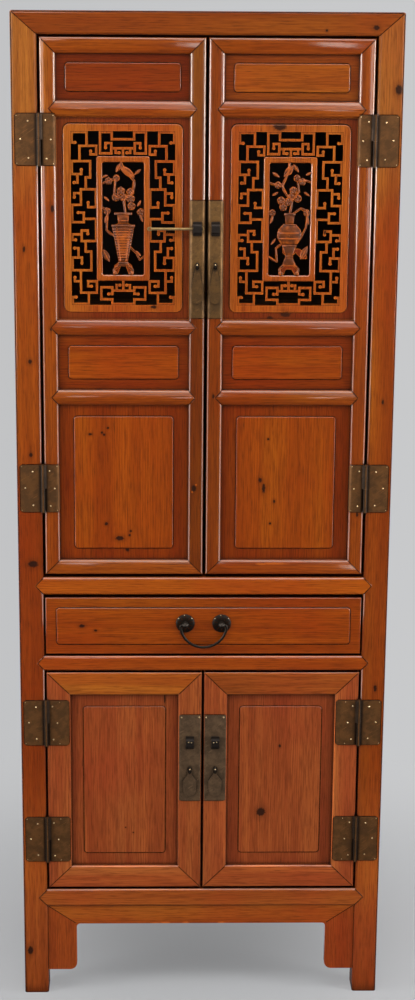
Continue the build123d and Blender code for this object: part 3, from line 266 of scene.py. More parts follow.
# ------------------------------------------------------------------ wood finishes
GRAIN_STRETCH = 0.038         # a streak is this much finer across the grain than along it
BAND_SCALE = 46.0             # broad streaks
FIBRE_SCALE = 560.0           # fine fibres
PORE_SCALE = 900.0
STREAK_SCALE = 17.0           # wide golden streaks
PATCH_SCALE = 4.0             # cloudy changes of tone
UNEVEN_SCALE = 26.0           # gentle waves of hand-planed wood
WIDE_SHADE_REACH = 22.0 * MM       # how far painted shade reaches over a sunk margin
CORNER_SHADE_REACH = 7.0 * MM        # how far painted shade reaches out of a corner
# Arrises are paled over this reach, partly as rubbed wear and partly as painted highlight.
RUB_AND_HIGHLIGHT_REACH = 2.2 * MM
WAVE_TURNS = 20.0             # turns of Blender's wave texture per unit of its scale
# Tints of the figure: factors on red, green and blue of the board's own tone.
LIGHT, DEEP = (1.16, 1.34, 1.40), (0.76, 0.66, 0.80)
RED, GOLDEN = (0.92, 0.66, 0.90), (1.10, 1.65, 1.80)
# How each layer of the finish fades in: from and to, then its share at either end.
BANDS_FADE = (0.30, 0.72)
STREAKS_FADE = (0.48, 0.72, 0.0, 0.60)
PATCHES_FADE = (0.45, 0.70, 0.0, 0.60)
FIBRES_FADE, FIBRES_SHADE = (0.56, 0.34, 0.0, 0.64), 0.45
PORES_FADE, PORES_SHADE = (0.38, 0.24, 0.0, 0.60), 1.5
WIDE_SHADE_FADE, WIDE_SHADE_DEPTH = (0.97, 0.60, 0.0, 0.75), 0.30
CORNER_SHADE_FADE = (0.90, 0.42, 0.0, 0.97)
RUB_AND_HIGHLIGHT_FADE = (0.80, 0.45)
RING_SHARE, RING_SHADE = 0.50, 0.68
SUNK_FADE = (-0.8 * MM, -0.2 * MM)        # depths beside a margin's face
HAND_FADE = (0.8, 1.2)                    # shares of the distance that hands have darkened
TURNED_INSIDE = -0.02         # a face looks inside if the middle line lies this far before it
# A mark fades out between these multiples of its size, then comes its share and its shade:
# the smoke round a knot, its core, and a worn spot, which also serves painted highlight lines.
KNOT_SMOKE, SMOKE_SHARE, SMOKE_SHADE = (3.6, 1.2), 0.42, 0.40
KNOT_CORE, CORE_SHARE, CORE_SHADE = (1.8, 1.2), 0.95, 1.4
MARK_EDGE, WORN_AND_LIT_SHARE, WORN_AND_LIT_SHADE = (1.7, 0.9), 0.7, 1.5
RAGGED_SCALE, RAGGED = 300.0, 0.9         # how uneven a mark's edge is
SPREAD = (0.3, 0.7)                       # the range that a noise value mostly covers
LACQUER_ROUGHNESS, DRY_ROUGHNESS = (0.55, 0.42), (0.75, 0.6)
DRY_SHADES = (0.7, 1.15)
DRY_FIBRES_FADE, DRY_CORNER_SHADE_FADE = (0.5, 0.3, 0.0, 0.5), (0.8, 0.3, 0.0, 0.8)
LUMP_SCALE, LUMPS_FADE, LUMP_SHADE = 260.0, (0.35, 0.7), 4.0


def along_grain(recipe, grain, offset, flat_above=None):
    """Place in the board, and the same drawn out along the grain.

    The drawn place always has the grain along Z. Above flat_above, a height, the boards of
    a piece have their grain along X instead.
    """
    place = recipe.place()
    moved = recipe.vector("ADD", place, offset)
    parts = recipe.node("SeparateXYZ", {0: moved}).outputs
    orders = {"X": (2, 1, 0), "Y": (0, 2, 1), "Z": (0, 1, 2)}

    def drawn(axis):
        across, through, along = (parts[index] for index in orders[axis])
        stretched = recipe.maths("MULTIPLY", along, GRAIN_STRETCH)
        return recipe.node("CombineXYZ", {0: across, 1: through, 2: stretched}).outputs[0]

    if flat_above is None:
        return place, drawn(grain)
    flat = recipe.maths("GREATER_THAN", recipe.part(place, 2), flat_above)
    return place, recipe.mix(flat, drawn(grain), drawn("X"))


def growth_rings(recipe, drawn, spacing):
    """Growth rings about an axis along the grain, from 0 to 1."""
    scale = 2 * math.pi / (WAVE_TURNS * spacing)
    sockets = {
        "Vector": drawn, "Scale": scale, "Distortion": 9.0,
        "Detail": 2.0, "Detail Scale": 0.35, "Detail Roughness": 0.5,
    }
    rings = recipe.node("TexWave", sockets, wave_type="RINGS", rings_direction="Z")
    return rings.outputs["Fac"]


def facing_inside(recipe, place):
    """1 on faces turned towards the upright middle line of the case, else 0."""
    outward = recipe.vector("MULTIPLY", place, (1.0, 1.0, 0.0))
    normal = recipe.node("NewGeometry").outputs["True Normal"]
    turned = recipe.node("VectorMath", {0: outward, 1: normal}, operation="DOT_PRODUCT")
    return recipe.maths("LESS_THAN", turned.outputs["Value"], TURNED_INSIDE)


def mark_mask(recipe, position, mark, edge=MARK_EDGE):
    """1 inside an oval mark (x, z, half width, half height), fading to 0 outside.

    edge says where it has gone and where it is full, in half sizes of the mark.
    """
    x, z, half_width, half_height = (value * MM for value in mark)
    from_centre = recipe.vector("SUBTRACT", position, (x, 0.0, z))
    scaled = recipe.vector("MULTIPLY", from_centre, (1 / half_width, 0.0, 1 / half_height))
    distance = recipe.node("VectorMath", {0: scaled}, operation="LENGTH").outputs["Value"]
    ragged = recipe.scaled(recipe.noise(position, RAGGED_SCALE, detail=2.0), RAGGED)
    return recipe.fade(recipe.maths("ADD", distance, ragged), *edge)


def wood_figure(recipe, position, drawn, fibres, tone):
    """Colour of clean wood: bands, rings, golden and red patches, fibres and pores."""
    wood = settings()[1]
    bands = recipe.noise(drawn, BAND_SCALE, detail=4.0, roughness=0.55)
    pores = recipe.noise(drawn, PORE_SCALE, detail=2.0)
    streaks = recipe.noise(drawn, STREAK_SCALE, detail=3.0)
    patches = recipe.noise(position, PATCH_SCALE, detail=3.0)
    rings = recipe.scaled(growth_rings(recipe, drawn, wood.ring_spacing), RING_SHARE)
    light, deep, red, golden = (tinted(tone, factors) for factors in (LIGHT, DEEP, RED, GOLDEN))
    body = recipe.over(opaque(deep), bands, BANDS_FADE, opaque(light))
    body = recipe.mix(rings, body, opaque(tone, RING_SHADE))
    body = recipe.over(body, streaks, STREAKS_FADE, opaque(golden))
    body = recipe.over(body, patches, PATCHES_FADE, opaque(red))
    body = recipe.over(body, fibres, FIBRES_FADE, opaque(deep, FIBRES_SHADE))
    return recipe.over(body, pores, PORES_FADE, opaque(wood.wax, PORES_SHADE))


def shaded_parts(recipe, node, position, body, inner_shade, margin):
    """The colour with its hand-darkened inner side, its stretches, some of them painted sheen, and its
    sunk margin.
    """
    if inner_shade is not None:
        reach, brightness = inner_shade
        outward = recipe.maths("ABSOLUTE", recipe.part(position, 0))
        shade = recipe.fade(outward, *(reach * part for part in HAND_FADE), brightness, 1.0)
        body = recipe.mix(1.0, body, shade, "MULTIPLY")
    for low, high, change in TONE_AND_SHEEN_STRETCHES.get(node, ()):
        height = recipe.part(position, 2)
        above = recipe.fade(height, low - STRETCH_SOFT, low)
        within = recipe.maths("MULTIPLY", above, recipe.fade(height, high + STRETCH_SOFT, high))
        changed = recipe.mix(1.0, body, opaque(change), "MULTIPLY")
        body = recipe.mix(within, body, changed)
    if margin is not None:
        face_y, brightness = margin
        sunk = recipe.fade(recipe.part(position, 1), *(face_y + depth for depth in SUNK_FADE))
        shade = (brightness, brightness ** 1.6, brightness, 1.0)
        body = recipe.mix(sunk, body, recipe.mix(1.0, body, shade, "MULTIPLY"))
    return body


def marked(recipe, node, position, body, tone):
    """The colour with the node's knots, worn spots and painted highlight lines."""
    wood = settings()[1]
    for mark in KNOTS.get(node, ()):
        smoke = recipe.scaled(mark_mask(recipe, position, mark, KNOT_SMOKE), SMOKE_SHARE)
        body = recipe.mix(smoke, body, opaque(tinted(tone, DEEP), SMOKE_SHADE))
        core = recipe.scaled(mark_mask(recipe, position, mark, KNOT_CORE), CORE_SHARE)
        body = recipe.mix(core, body, opaque(wood.wax, CORE_SHADE))
    # Worn spots and painted highlight lines, paler than the wood.
    for mark in WORN_AND_HIGHLIGHTS.get(node, ()):
        worn = recipe.scaled(mark_mask(recipe, position, mark), WORN_AND_LIT_SHARE)
        body = recipe.mix(worn, body, opaque(tinted(tone, LIGHT), WORN_AND_LIT_SHADE))
    return body


def aged(recipe, body, tone, edges):
    """The colour with painted shade, broad over sunk margins and tight in the corners, and arrises
    paled partly by rubbing and partly as painted highlight.
    """
    # Painted shade: broad over sunk margins, then tight in the corners.
    openness = recipe.occlusion(WIDE_SHADE_REACH)
    body = recipe.over(body, openness, WIDE_SHADE_FADE, opaque(tinted(tone, DEEP), WIDE_SHADE_DEPTH))
    openness = recipe.occlusion(CORNER_SHADE_REACH)
    body = recipe.over(body, openness, CORNER_SHADE_FADE, opaque(settings()[1].wax))
    # Paler arrises: partly rubbed wear, partly painted highlight.
    rubbed, paleness = edges
    solidity = recipe.occlusion(RUB_AND_HIGHLIGHT_REACH, inside=True)
    fade = (*RUB_AND_HIGHLIGHT_FADE, 0.0, rubbed)
    return recipe.over(body, solidity, fade, opaque(tinted(tone, LIGHT), paleness))


def lacquered(
    node, grain, tone, offset, inner_shade=None, flat_above=None, darkened_inside=False,
    margin=None, edges=(0.35, 1.25),
):
    """Lacquered wood: rings, streaks, fibres, painted shade in corners, pale edges and a clear coat.

    The node's own knots, its worn spots and painted highlight lines, and stretches of another
    tone, some of them painted sheen, are added. offset moves the board through the figure, so
    that no two boards look alike. inner_shade is (distance from the middle line, brightness
    inside it), for wood darkened by hands. margin is (y of the sunk margin round a raised
    field, its brightness). edges is (how strongly the arrises are paled, partly as rubbed wear
    and partly as painted highlight, how pale they are there).
    """
    wood = settings()[1]
    material, recipe, shader = start_finish("lacquer_" + node)
    tone = tinted(tone, TONES.get(node, (1, 1, 1)))
    position, drawn = along_grain(recipe, grain, offset, flat_above)
    fibres = recipe.noise(drawn, FIBRE_SCALE, detail=4.0, roughness=0.65)
    body = wood_figure(recipe, position, drawn, fibres, tone)
    body = shaded_parts(recipe, node, position, body, inner_shade, margin)
    body = marked(recipe, node, position, body, tone)
    # Faces turned inside the case are darker.
    if darkened_inside:
        body = recipe.mix(facing_inside(recipe, position), body, opaque(wood.inner_wood, 0.5))
    body = aged(recipe, body, tone, edges)

    uneven = recipe.noise(position, UNEVEN_SCALE, detail=2.0)
    relief = recipe.maths("ADD", recipe.scaled(fibres, 0.35), uneven)
    bump = recipe.node("Bump", {"Strength": 0.35, "Distance": 0.5 * MM, "Height": relief})
    recipe.feed(shader.inputs["Base Color"], body)
    recipe.feed(shader.inputs["Roughness"], recipe.fade(fibres, *SPREAD, *LACQUER_ROUGHNESS))
    recipe.feed(shader.inputs["Normal"], bump.outputs[0])
    recipe.feed(shader.inputs["Coat Normal"], bump.outputs[0])
    shader.inputs["Specular IOR Level"].default_value = 0.03
    shader.inputs["Coat Weight"].default_value = wood.coat
    shader.inputs["Coat Roughness"].default_value = wood.coat_roughness
    shader.inputs["Coat IOR"].default_value = 1.42
    return material


def plain_board(name, grain):
    """Dry, unlacquered board of the inside."""
    wood = settings()[1]
    material, recipe, shader = start_finish(name)
    drawn = along_grain(recipe, grain, (0.2, 0.3, 0.1))[1]
    bands = recipe.noise(drawn, BAND_SCALE, detail=4.0)
    fibres = recipe.noise(drawn, FIBRE_SCALE, detail=4.0, roughness=0.65)
    tone = wood.inner_wood
    dark, pale = (opaque(tone, shade) for shade in DRY_SHADES)
    body = recipe.over(dark, bands, SPREAD, pale)
    body = recipe.over(body, fibres, DRY_FIBRES_FADE, opaque(tone, FIBRES_SHADE))
    # Painted shade in the corners.
    openness = recipe.occlusion(CORNER_SHADE_REACH * 2)
    body = recipe.over(body, openness, DRY_CORNER_SHADE_FADE, opaque(wood.wax, 2.0))
    bump = recipe.node("Bump", {"Strength": 0.4, "Distance": 0.4 * MM, "Height": fibres})
    recipe.feed(shader.inputs["Base Color"], body)
    recipe.feed(shader.inputs["Normal"], bump.outputs[0])
    recipe.feed(shader.inputs["Roughness"], recipe.fade(bands, *SPREAD, *DRY_ROUGHNESS))
    shader.inputs["Specular IOR Level"].default_value = 0.06
    return material


def wax_and_shade_finish(name):
    """Almost black, for wax left in a corner or a joint and for painted shade and shadow lines."""
    wood = settings()[1]
    material, recipe, shader = start_finish(name)
    lumps = recipe.noise(recipe.place(), LUMP_SCALE)
    body = recipe.over(opaque(wood.wax), lumps, LUMPS_FADE, opaque(wood.wax, LUMP_SHADE))
    recipe.feed(shader.inputs["Base Color"], body)
    shader.inputs["Roughness"].default_value = 0.9
    shader.inputs["Specular IOR Level"].default_value = 0.0
    return material


# ------------------------------------------------------------------ metal finishes
MOTTLE_SCALE = 55.0
SPECKLE_SCALE = 520.0
SCRATCH_SCALE = 900.0
SCRATCH_TILT = 0.6            # turn of the scratches about Y, radians
SCRATCH_STRETCH = (0.05, 1.0, 0.9)
METAL_DIRT = 9.0 * MM         # how far tarnish reaches out of a corner
METAL_RUBBED = 0.9 * MM
MOTTLE_FADE, MOTTLE_SHADES = (0.36, 0.66), (0.72, 1.22)
SPECKLE_FADE = (0.42, 0.28)
SCRATCH_FADE, SCRATCH_SHADE = (0.66, 0.76, 0.0, 0.5), 2.6
METAL_DIRT_FADE, METAL_DIRT_SHADE = (0.90, 0.45, 0.0, 0.9), 0.6
METAL_RUBBED_FADE = (0.75, 0.40, 0.0, 0.55)
# Darker band over and beside a hinge knuckle: starts, is full; is full, ends (distances from the pin).
KNUCKLE_DARK_BAND = (0.6 * MM, 1.6 * MM, 10.5 * MM, 5.0 * MM)
KNUCKLE_SHARE = 0.88
DARK_MARK_SHADE = 0.4
SPOT_SCALE, SPOTS_FADE, SPOT_SHADES = 700.0, (0.35, 0.6), (0.45, 1.2)
NAIL_ROUGHNESS = (0.45, 0.25)


def tarnished(
    name, tone, patina=0.6, roughness=(0.42, 0.60), rub=1.5, hammered=0.25, knuckles=None,
    dark_ovals=(),
):
    """Old sheet brass or bronze: mottled, scratched, dark in corners, rubbed on edges.

    knuckles is the distance of hinge pins from the middle line, for a darker band over and beside
    them. dark_ovals lists darker ovals, each a mark and its strength.
    """
    metal = settings()[2]
    material, recipe, shader = start_finish(name)
    position = recipe.place()
    mottle = recipe.noise(position, MOTTLE_SCALE, detail=5.0, roughness=0.6)
    speckle = recipe.noise(position, SPECKLE_SCALE, detail=3.0)
    turn = {"Vector": position, "Angle": SCRATCH_TILT}
    tilted = recipe.node("VectorRotate", turn, rotation_type="Y_AXIS").outputs[0]
    scored = recipe.vector("MULTIPLY", tilted, SCRATCH_STRETCH)
    scratches = recipe.noise(scored, SCRATCH_SCALE, detail=1.0)

    dark, pale = (opaque(tone, shade) for shade in MOTTLE_SHADES)
    body = recipe.over(dark, mottle, MOTTLE_FADE, pale)
    body = recipe.over(body, speckle, (*SPECKLE_FADE, 0.0, patina), opaque(metal.patina))
    body = recipe.over(body, scratches, SCRATCH_FADE, opaque(tone, SCRATCH_SHADE))
    openness = recipe.occlusion(METAL_DIRT)
    body = recipe.over(body, openness, METAL_DIRT_FADE, opaque(metal.patina, METAL_DIRT_SHADE))
    if knuckles is not None:
        outward = recipe.maths("ABSOLUTE", recipe.part(position, 0))
        beside = recipe.maths("ABSOLUTE", recipe.maths("SUBTRACT", outward, knuckles))
        starts, ends = KNUCKLE_DARK_BAND[:2], KNUCKLE_DARK_BAND[2:]
        dark_mark = recipe.maths("MULTIPLY", recipe.fade(beside, *starts), recipe.fade(beside, *ends))
        dark_mark = recipe.scaled(dark_mark, KNUCKLE_SHARE)
        body = recipe.mix(dark_mark, body, opaque(metal.patina, DARK_MARK_SHADE))
    for mark, strength in dark_ovals:
        dark_mark = recipe.scaled(mark_mask(recipe, position, mark), strength)
        body = recipe.mix(dark_mark, body, opaque(metal.patina, DARK_MARK_SHADE))
    solidity = recipe.occlusion(METAL_RUBBED, inside=True)
    body = recipe.over(body, solidity, METAL_RUBBED_FADE, opaque(tone, rub))

    dents = recipe.maths("ADD", mottle, recipe.scaled(speckle, 0.25))
    bump = recipe.node("Bump", {"Strength": hammered, "Distance": 0.6 * MM, "Height": dents})
    recipe.feed(shader.inputs["Base Color"], body)
    recipe.feed(shader.inputs["Roughness"], recipe.fade(mottle, *SPREAD, *reversed(roughness)))
    recipe.feed(shader.inputs["Normal"], bump.outputs[0])
    shader.inputs["Metallic"].default_value = metal.metal_share
    shader.inputs["Specular IOR Level"].default_value = 0.09
    return material


def nail_and_glint_finish():
    """Bright, rubbed brass of the nail heads, and of the bright domes that are painted glints."""
    metal = settings()[2]
    material, recipe, shader = start_finish("nail_brass")
    spots = recipe.noise(recipe.place(), SPOT_SCALE, detail=2.0)
    dark, pale = (opaque(metal.nail_brass, shade) for shade in SPOT_SHADES)
    body = recipe.over(dark, spots, SPOTS_FADE, pale)
    recipe.feed(shader.inputs["Base Color"], body)
    recipe.feed(shader.inputs["Roughness"], recipe.fade(spots, *SPREAD, *NAIL_ROUGHNESS))
    shader.inputs["Metallic"].default_value = 0.8
    return material


# ------------------------------------------------------------------ mesh helpers
def dress(node, material):
    """Gives a CAD node its finish."""
    slots = NODES[node].material_slots
    if not slots:
        NODES[node].data.materials.append(material)
    for slot in slots:
        slot.link = "OBJECT"
        slot.material = material


WELD_DISTANCE = 0.01 * MM
FLAT_ANGLE = math.radians(0.5)            # faces that turn by less than this are one flat
ARRIS_ANGLE = math.radians(32)            # edges sharper than this are rounded


def soften(node, width, segments=2, pierced=False, bowed=False):
    """Small rounding on the sharp edges of a CAD node.

    A pierced board keeps all its faces. bowed keeps the strips of a bowed face even.
    """
    piece = NODES[node]
    weld = piece.modifiers.new("weld", "WELD")
    weld.merge_threshold = WELD_DISTANCE
    if not pierced:
        flat = piece.modifiers.new("flat faces", "DECIMATE")
        flat.decimate_type = "DISSOLVE"
        flat.angle_limit = FLAT_ANGLE
    bevel = piece.modifiers.new("arris", "BEVEL")
    bevel.width = width
    bevel.segments = segments
    bevel.limit_method = "ANGLE"
    bevel.angle_limit = ARRIS_ANGLE
    bevel.harden_normals = True
    bevel.miter_outer = "MITER_ARC"
    if bowed:
        even = piece.modifiers.new("even shading", "WEIGHTED_NORMAL")
        even.weight = 100
        even.keep_sharp = True


def surface_finder(*nodes):
    """Function that gives the y of the nodes' front surface at an (x, z) place."""
    trees = []
    for node in nodes:
        mesh = NODES[node].data
        corners = [vertex.co.copy() for vertex in mesh.vertices]
        faces = [tuple(face.vertices) for face in mesh.polygons]
        trees.append(BVHTree.FromPolygons(corners, faces))

    def front_y(x, z):
        hits = [tree.ray_cast(Vector((x, -1.0, z)), Vector((0, 1, 0)))[0] for tree in trees]
        depths = [hit.y for hit in hits if hit is not None]
        if not depths:
            raise ValueError(f"nothing to sit on at {x:.4f}, {z:.4f}")
        return min(depths)

    return front_y


def make_piece(name, mesh, body, material, smooth=True):
    """Finished piece from a bmesh, riding on a body."""
    data = bpy.data.meshes.new(name)
    mesh.normal_update()
    mesh.to_mesh(data)
    mesh.free()
    for face in data.polygons:
        face.use_smooth = smooth
    data.materials.append(material)
    piece = bpy.data.objects.new(name, data)
    bpy.context.scene.collection.objects.link(piece)
    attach(piece, body)
    return piece


def close_ring(mesh, lower, upper):
    """Wall of faces between two rings of vertices."""
    count = len(lower)
    for index in range(count):
        following = (index + 1) % count
        mesh.faces.new((lower[index], lower[following], upper[following], upper[index]))


def crowned(mesh, outline, base_y, crown, sink=0.6 * MM, steps=4):
    """Pillow over an outline of (x, z) points, with its back sunk under base_y."""
    centre = sum((Vector(point) for point in outline), Vector((0, 0))) / len(outline)
    back = [mesh.verts.new((x, base_y + sink, z)) for x, z in outline]
    mesh.faces.new(back)
    below = back
    for step in range(steps):
        angle = step / steps * math.pi / 2
        scale, rise = math.cos(angle), math.sin(angle) * crown
        ring = []
        for x, z in outline:
            spot = centre + (Vector((x, z)) - centre) * scale
            ring.append(mesh.verts.new((spot.x, base_y - rise, spot.y)))
        close_ring(mesh, below, ring)
        below = ring
    tip = mesh.verts.new((centre.x, base_y - crown, centre.y))
    for index in range(len(below)):
        mesh.faces.new((below[index], below[(index + 1) % len(below)], tip))


def dome(mesh, x, y, z, radius, rise, sides=12):
    """Domed nail head on a surface at y."""
    outline = []
    for index in range(sides):
        angle = 2 * math.pi * index / sides
        outline.append((x + radius * math.cos(angle), z + radius * math.sin(angle)))
    crowned(mesh, outline, y, rise, sink=0.4 * MM, steps=3)


def bead_line(mesh, points, width, base_y, crown, sections=5):
    """Half-round strip along (x, z) points, tapered to rounded ends."""
    path = [Vector(point) for point in points]
    rows = []
    for index, spot in enumerate(path):
        before = path[max(index - 1, 0)]
        after = path[min(index + 1, len(path) - 1)]
        run = (after - before).normalized()
        across = Vector((-run.y, run.x))
        row = []
        for section in range(sections):
            angle = math.pi * section / (sections - 1)
            offset = across * (math.cos(angle) * width / 2)
            rise = math.sin(angle) * crown
            row.append(mesh.verts.new((spot.x + offset.x, base_y - rise, spot.y + offset.y)))
        back = 0.8 * MM
        row.append(mesh.verts.new((row[-1].co.x, base_y + back, row[-1].co.z)))
        row.append(mesh.verts.new((row[0].co.x, base_y + back, row[0].co.z)))
        rows.append(row)
    for first, second in zip(rows, rows[1:]):
        close_ring(mesh, first, second)
    mesh.faces.new(rows[0])
    mesh.faces.new(list(reversed(rows[-1])))


# ------------------------------------------------------------------ stage
ROOM_FADE = (-0.55, 0.45)     # y of the directions between which the dim room becomes wall
WALL_FADE = (-0.10, 0.12)     # x of those between which the wall grows paler
WALL_SHADES = (0.97, 1.04)
FLOOR_SHADES = (0.96, 1.04)
CLOUD_SCALE = 1.6             # of the floor's paint
FILL_COLOUR = (1.0, 0.985, 0.96, 1.0)
MIDDLE = (0.0, -0.2, 1.0)
# Lamps: name, power property, place, aim, size, and whether a lamp lights the cabinet. One
# that doesn't is seen in reflections alone, where the others never are.
LAMPS = (
    ("front_light", "front_power", (0.0, -5.2, 2.4), MIDDLE, (3.6, 2.8), True),
    ("top_light", "top_power", (0.0, -1.7, 3.3), MIDDLE, (2.2, 0.8), True),
    ("back_light", "back_power", (0.0, 4.6, 2.6), MIDDLE, (3.0, 2.0), True),
    ("ceiling", "ceiling_power", (0.0, -1.2, 3.4), (0.0, -1.19, 0.0), (4.0, 2.6), False),
    ("high_wall", "high_wall_power", (0.0, -5.0, 4.0), (0.0, -0.2, 1.8), (6.0, 2.0), False),
)
# Lamps that stand on both sides, in the same way, with the place of the right one.
PAIRED_LAMPS = (
    ("softbox", "side_power", (1.90, -0.83, 1.35), MIDDLE, (0.6, 2.2), True),
    ("wall", "wall_power", (2.30, -1.11, 1.55), (0.0, -1.11, 1.55), (1.38, 0.7), False),
    ("low_wall", "low_wall_power", (2.30, -1.11, 0.60), (0.0, -1.11, 0.60), (1.38, 1.2), False),
    ("strip", "strip_power", (1.45, -3.60, 1.50), (0.0, -0.20, 1.50), (0.60, 0.8), False),
)


class CABINET_OT_stage(Operator):
    """Floor, backdrop, lamps and camera"""

    bl_idname = "cabinet.stage"
    bl_label = "Stage"

    def execute(self, context):
        stage = settings()[0]
        context.scene.view_settings.view_transform = "Standard"
        self.set_world(context, stage)
        self.lay_floor(context, stage)
        self.hang_lamps(context, stage)
        self.place_camera(context, stage)
        return {"FINISHED"}

    @staticmethod
    def backdrop(recipe, direction, stage):
        """Backdrop colour in a direction; lacquer sees a dimmer room behind the camera."""
        turned = recipe.node("VectorMath", {0: direction}, operation="NORMALIZE").outputs[0]
        camera = recipe.node("LightPath").outputs["Is Camera Ray"]
        ahead = recipe.fade(recipe.part(turned, 1), *ROOM_FADE)
        dark, pale = (opaque(stage.backdrop_colour, shade) for shade in WALL_SHADES)
        wall = recipe.over(dark, recipe.part(turned, 0), WALL_FADE, pale)
        return recipe.mix(recipe.maths("MAXIMUM", ahead, camera), opaque(stage.room_colour), wall)

    @staticmethod
    def seen_directly(recipe):
        """1 for camera, glossy and transmission rays."""
        rays = recipe.node("LightPath").outputs
        seen = recipe.maths("MAXIMUM", rays["Is Camera Ray"], rays["Is Glossy Ray"])
        return recipe.maths("MAXIMUM", seen, rays["Is Transmission Ray"])

    def set_world(self, context, stage):
        """Even fill light, with the backdrop where rays see it."""
        world = bpy.data.worlds.new("studio")
        context.scene.world = world
        world.use_nodes = True
        recipe = Recipe(world.node_tree)
        direction = recipe.node("TexCoord").outputs["Generated"]
        fill = recipe.node("Background", {"Color": FILL_COLOUR, "Strength": stage.fill_strength})
        wall = self.backdrop(recipe, direction, stage)
        shown = recipe.node("Background", {"Color": wall, "Strength": 1.0})
        chosen = recipe.node(
            "MixShader", {0: self.seen_directly(recipe), 1: fill.outputs[0], 2: shown.outputs[0]}
        )
        output = recipe.node("OutputWorld")
        recipe.feed(output.inputs["Surface"], chosen.outputs[0])

    def lay_floor(self, context, stage):
        """Pale floor that turns into the backdrop further out."""
        sheet = bmesh.new()
        bmesh.ops.create_grid(sheet, x_segments=2, y_segments=2, size=stage.floor_reach)
        data = bpy.data.meshes.new("studio_floor")
        sheet.to_mesh(data)
        sheet.free()
        floor = bpy.data.objects.new("studio_floor", data)
        context.scene.collection.objects.link(floor)
        material, recipe, shader = start_finish("floor_paint")
        position = recipe.place()
        distance = recipe.node("VectorMath", {0: position}, operation="LENGTH").outputs["Value"]
        far = recipe.fade(distance, 0.0, stage.floor_fade_end, stage.floor_share, 1.0)
        rays = recipe.node("LightPath").outputs
        seen = recipe.maths("MAXIMUM", rays["Is Camera Ray"], rays["Is Transmission Ray"])
        glossy = rays["Is Glossy Ray"]
        amount = recipe.maths("MAXIMUM", recipe.maths("MULTIPLY", far, seen), glossy)
        sight = recipe.vector("ADD", position, (0.0, -stage.camera_place[1], 0.0))
        shown = recipe.mix(
            glossy, self.backdrop(recipe, sight, stage), self.backdrop(recipe, position, stage)
        )
        glow = recipe.node("Emission", {"Color": shown})
        chosen = recipe.node("MixShader", {0: amount, 1: shader.outputs[0], 2: glow.outputs[0]})
        clouds = recipe.noise(position, CLOUD_SCALE, detail=2.0)
        dark, pale = (opaque(stage.floor_colour, shade) for shade in FLOOR_SHADES)
        recipe.feed(shader.inputs["Base Color"], recipe.mix(clouds, dark, pale))
        shader.inputs["Roughness"].default_value = 0.7
        output = recipe.tree.nodes["Material Output"]
        recipe.feed(output.inputs["Surface"], chosen.outputs[0])
        data.materials.append(material)

    def hang_lamps(self, context, stage):
        """Lights, and bright walls and a ceiling that the lacquer and the metal reflect."""
        rows = list(LAMPS)
        for side in SIDES:
            for name, setting, (x, y, z), *rest in PAIRED_LAMPS:
                rows.append((f"{name}_{side}", setting, (x * sign_of(side), y, z), *rest))
        for name, setting, place, aim, size, lights in rows:
            lamp = bpy.data.lights.new(name, "AREA")
            lamp.shape = "RECTANGLE"
            lamp.size, lamp.size_y = size
            lamp.energy = getattr(stage, setting)
            lamp.color = stage.lamp_colour
            holder = bpy.data.objects.new(name, lamp)
            holder.location = place
            sight = Vector(aim) - Vector(place)
            holder.rotation_euler = sight.to_track_quat("-Z", "Y").to_euler()
            holder.visible_camera = False
            holder.visible_diffuse = lights
            holder.visible_glossy = not lights
            context.scene.collection.objects.link(holder)

    def place_camera(self, context, stage):
        """Camera by its place, its aim and a small roll."""
        camera = bpy.data.objects.new("camera", bpy.data.cameras.new("camera"))
        camera.data.lens = stage.lens
        camera.data.shift_x = stage.shift
        camera.location = stage.camera_place
        sight = Vector(stage.camera_aim) - Vector(stage.camera_place)
        upright = sight.to_track_quat("-Z", "Y")
        rolled = upright @ Quaternion((0, 0, 1), stage.camera_roll)
        camera.rotation_euler = rolled.to_euler()
        context.scene.collection.objects.link(camera)
        context.scene.camera = camera


# ------------------------------------------------------------------ case
CASE_BOARDS = (
    ("front_posts", "Z"), ("rear_posts", "Z"), ("top_long_rails", "X"), ("top_side_rails", "Y"),
    ("top_panel", "X"), ("upper_front_rail", "X"), ("drawer_rail", "X"),
    ("bottom_front_rail", "X"), ("side_rails", "Y"), ("back_rails", "X"), ("side_panels", "Z"),
    ("back_panels", "Z"), ("front_apron", "X"), ("apron_spandrels", "Z"), ("side_aprons", "Y"),
)
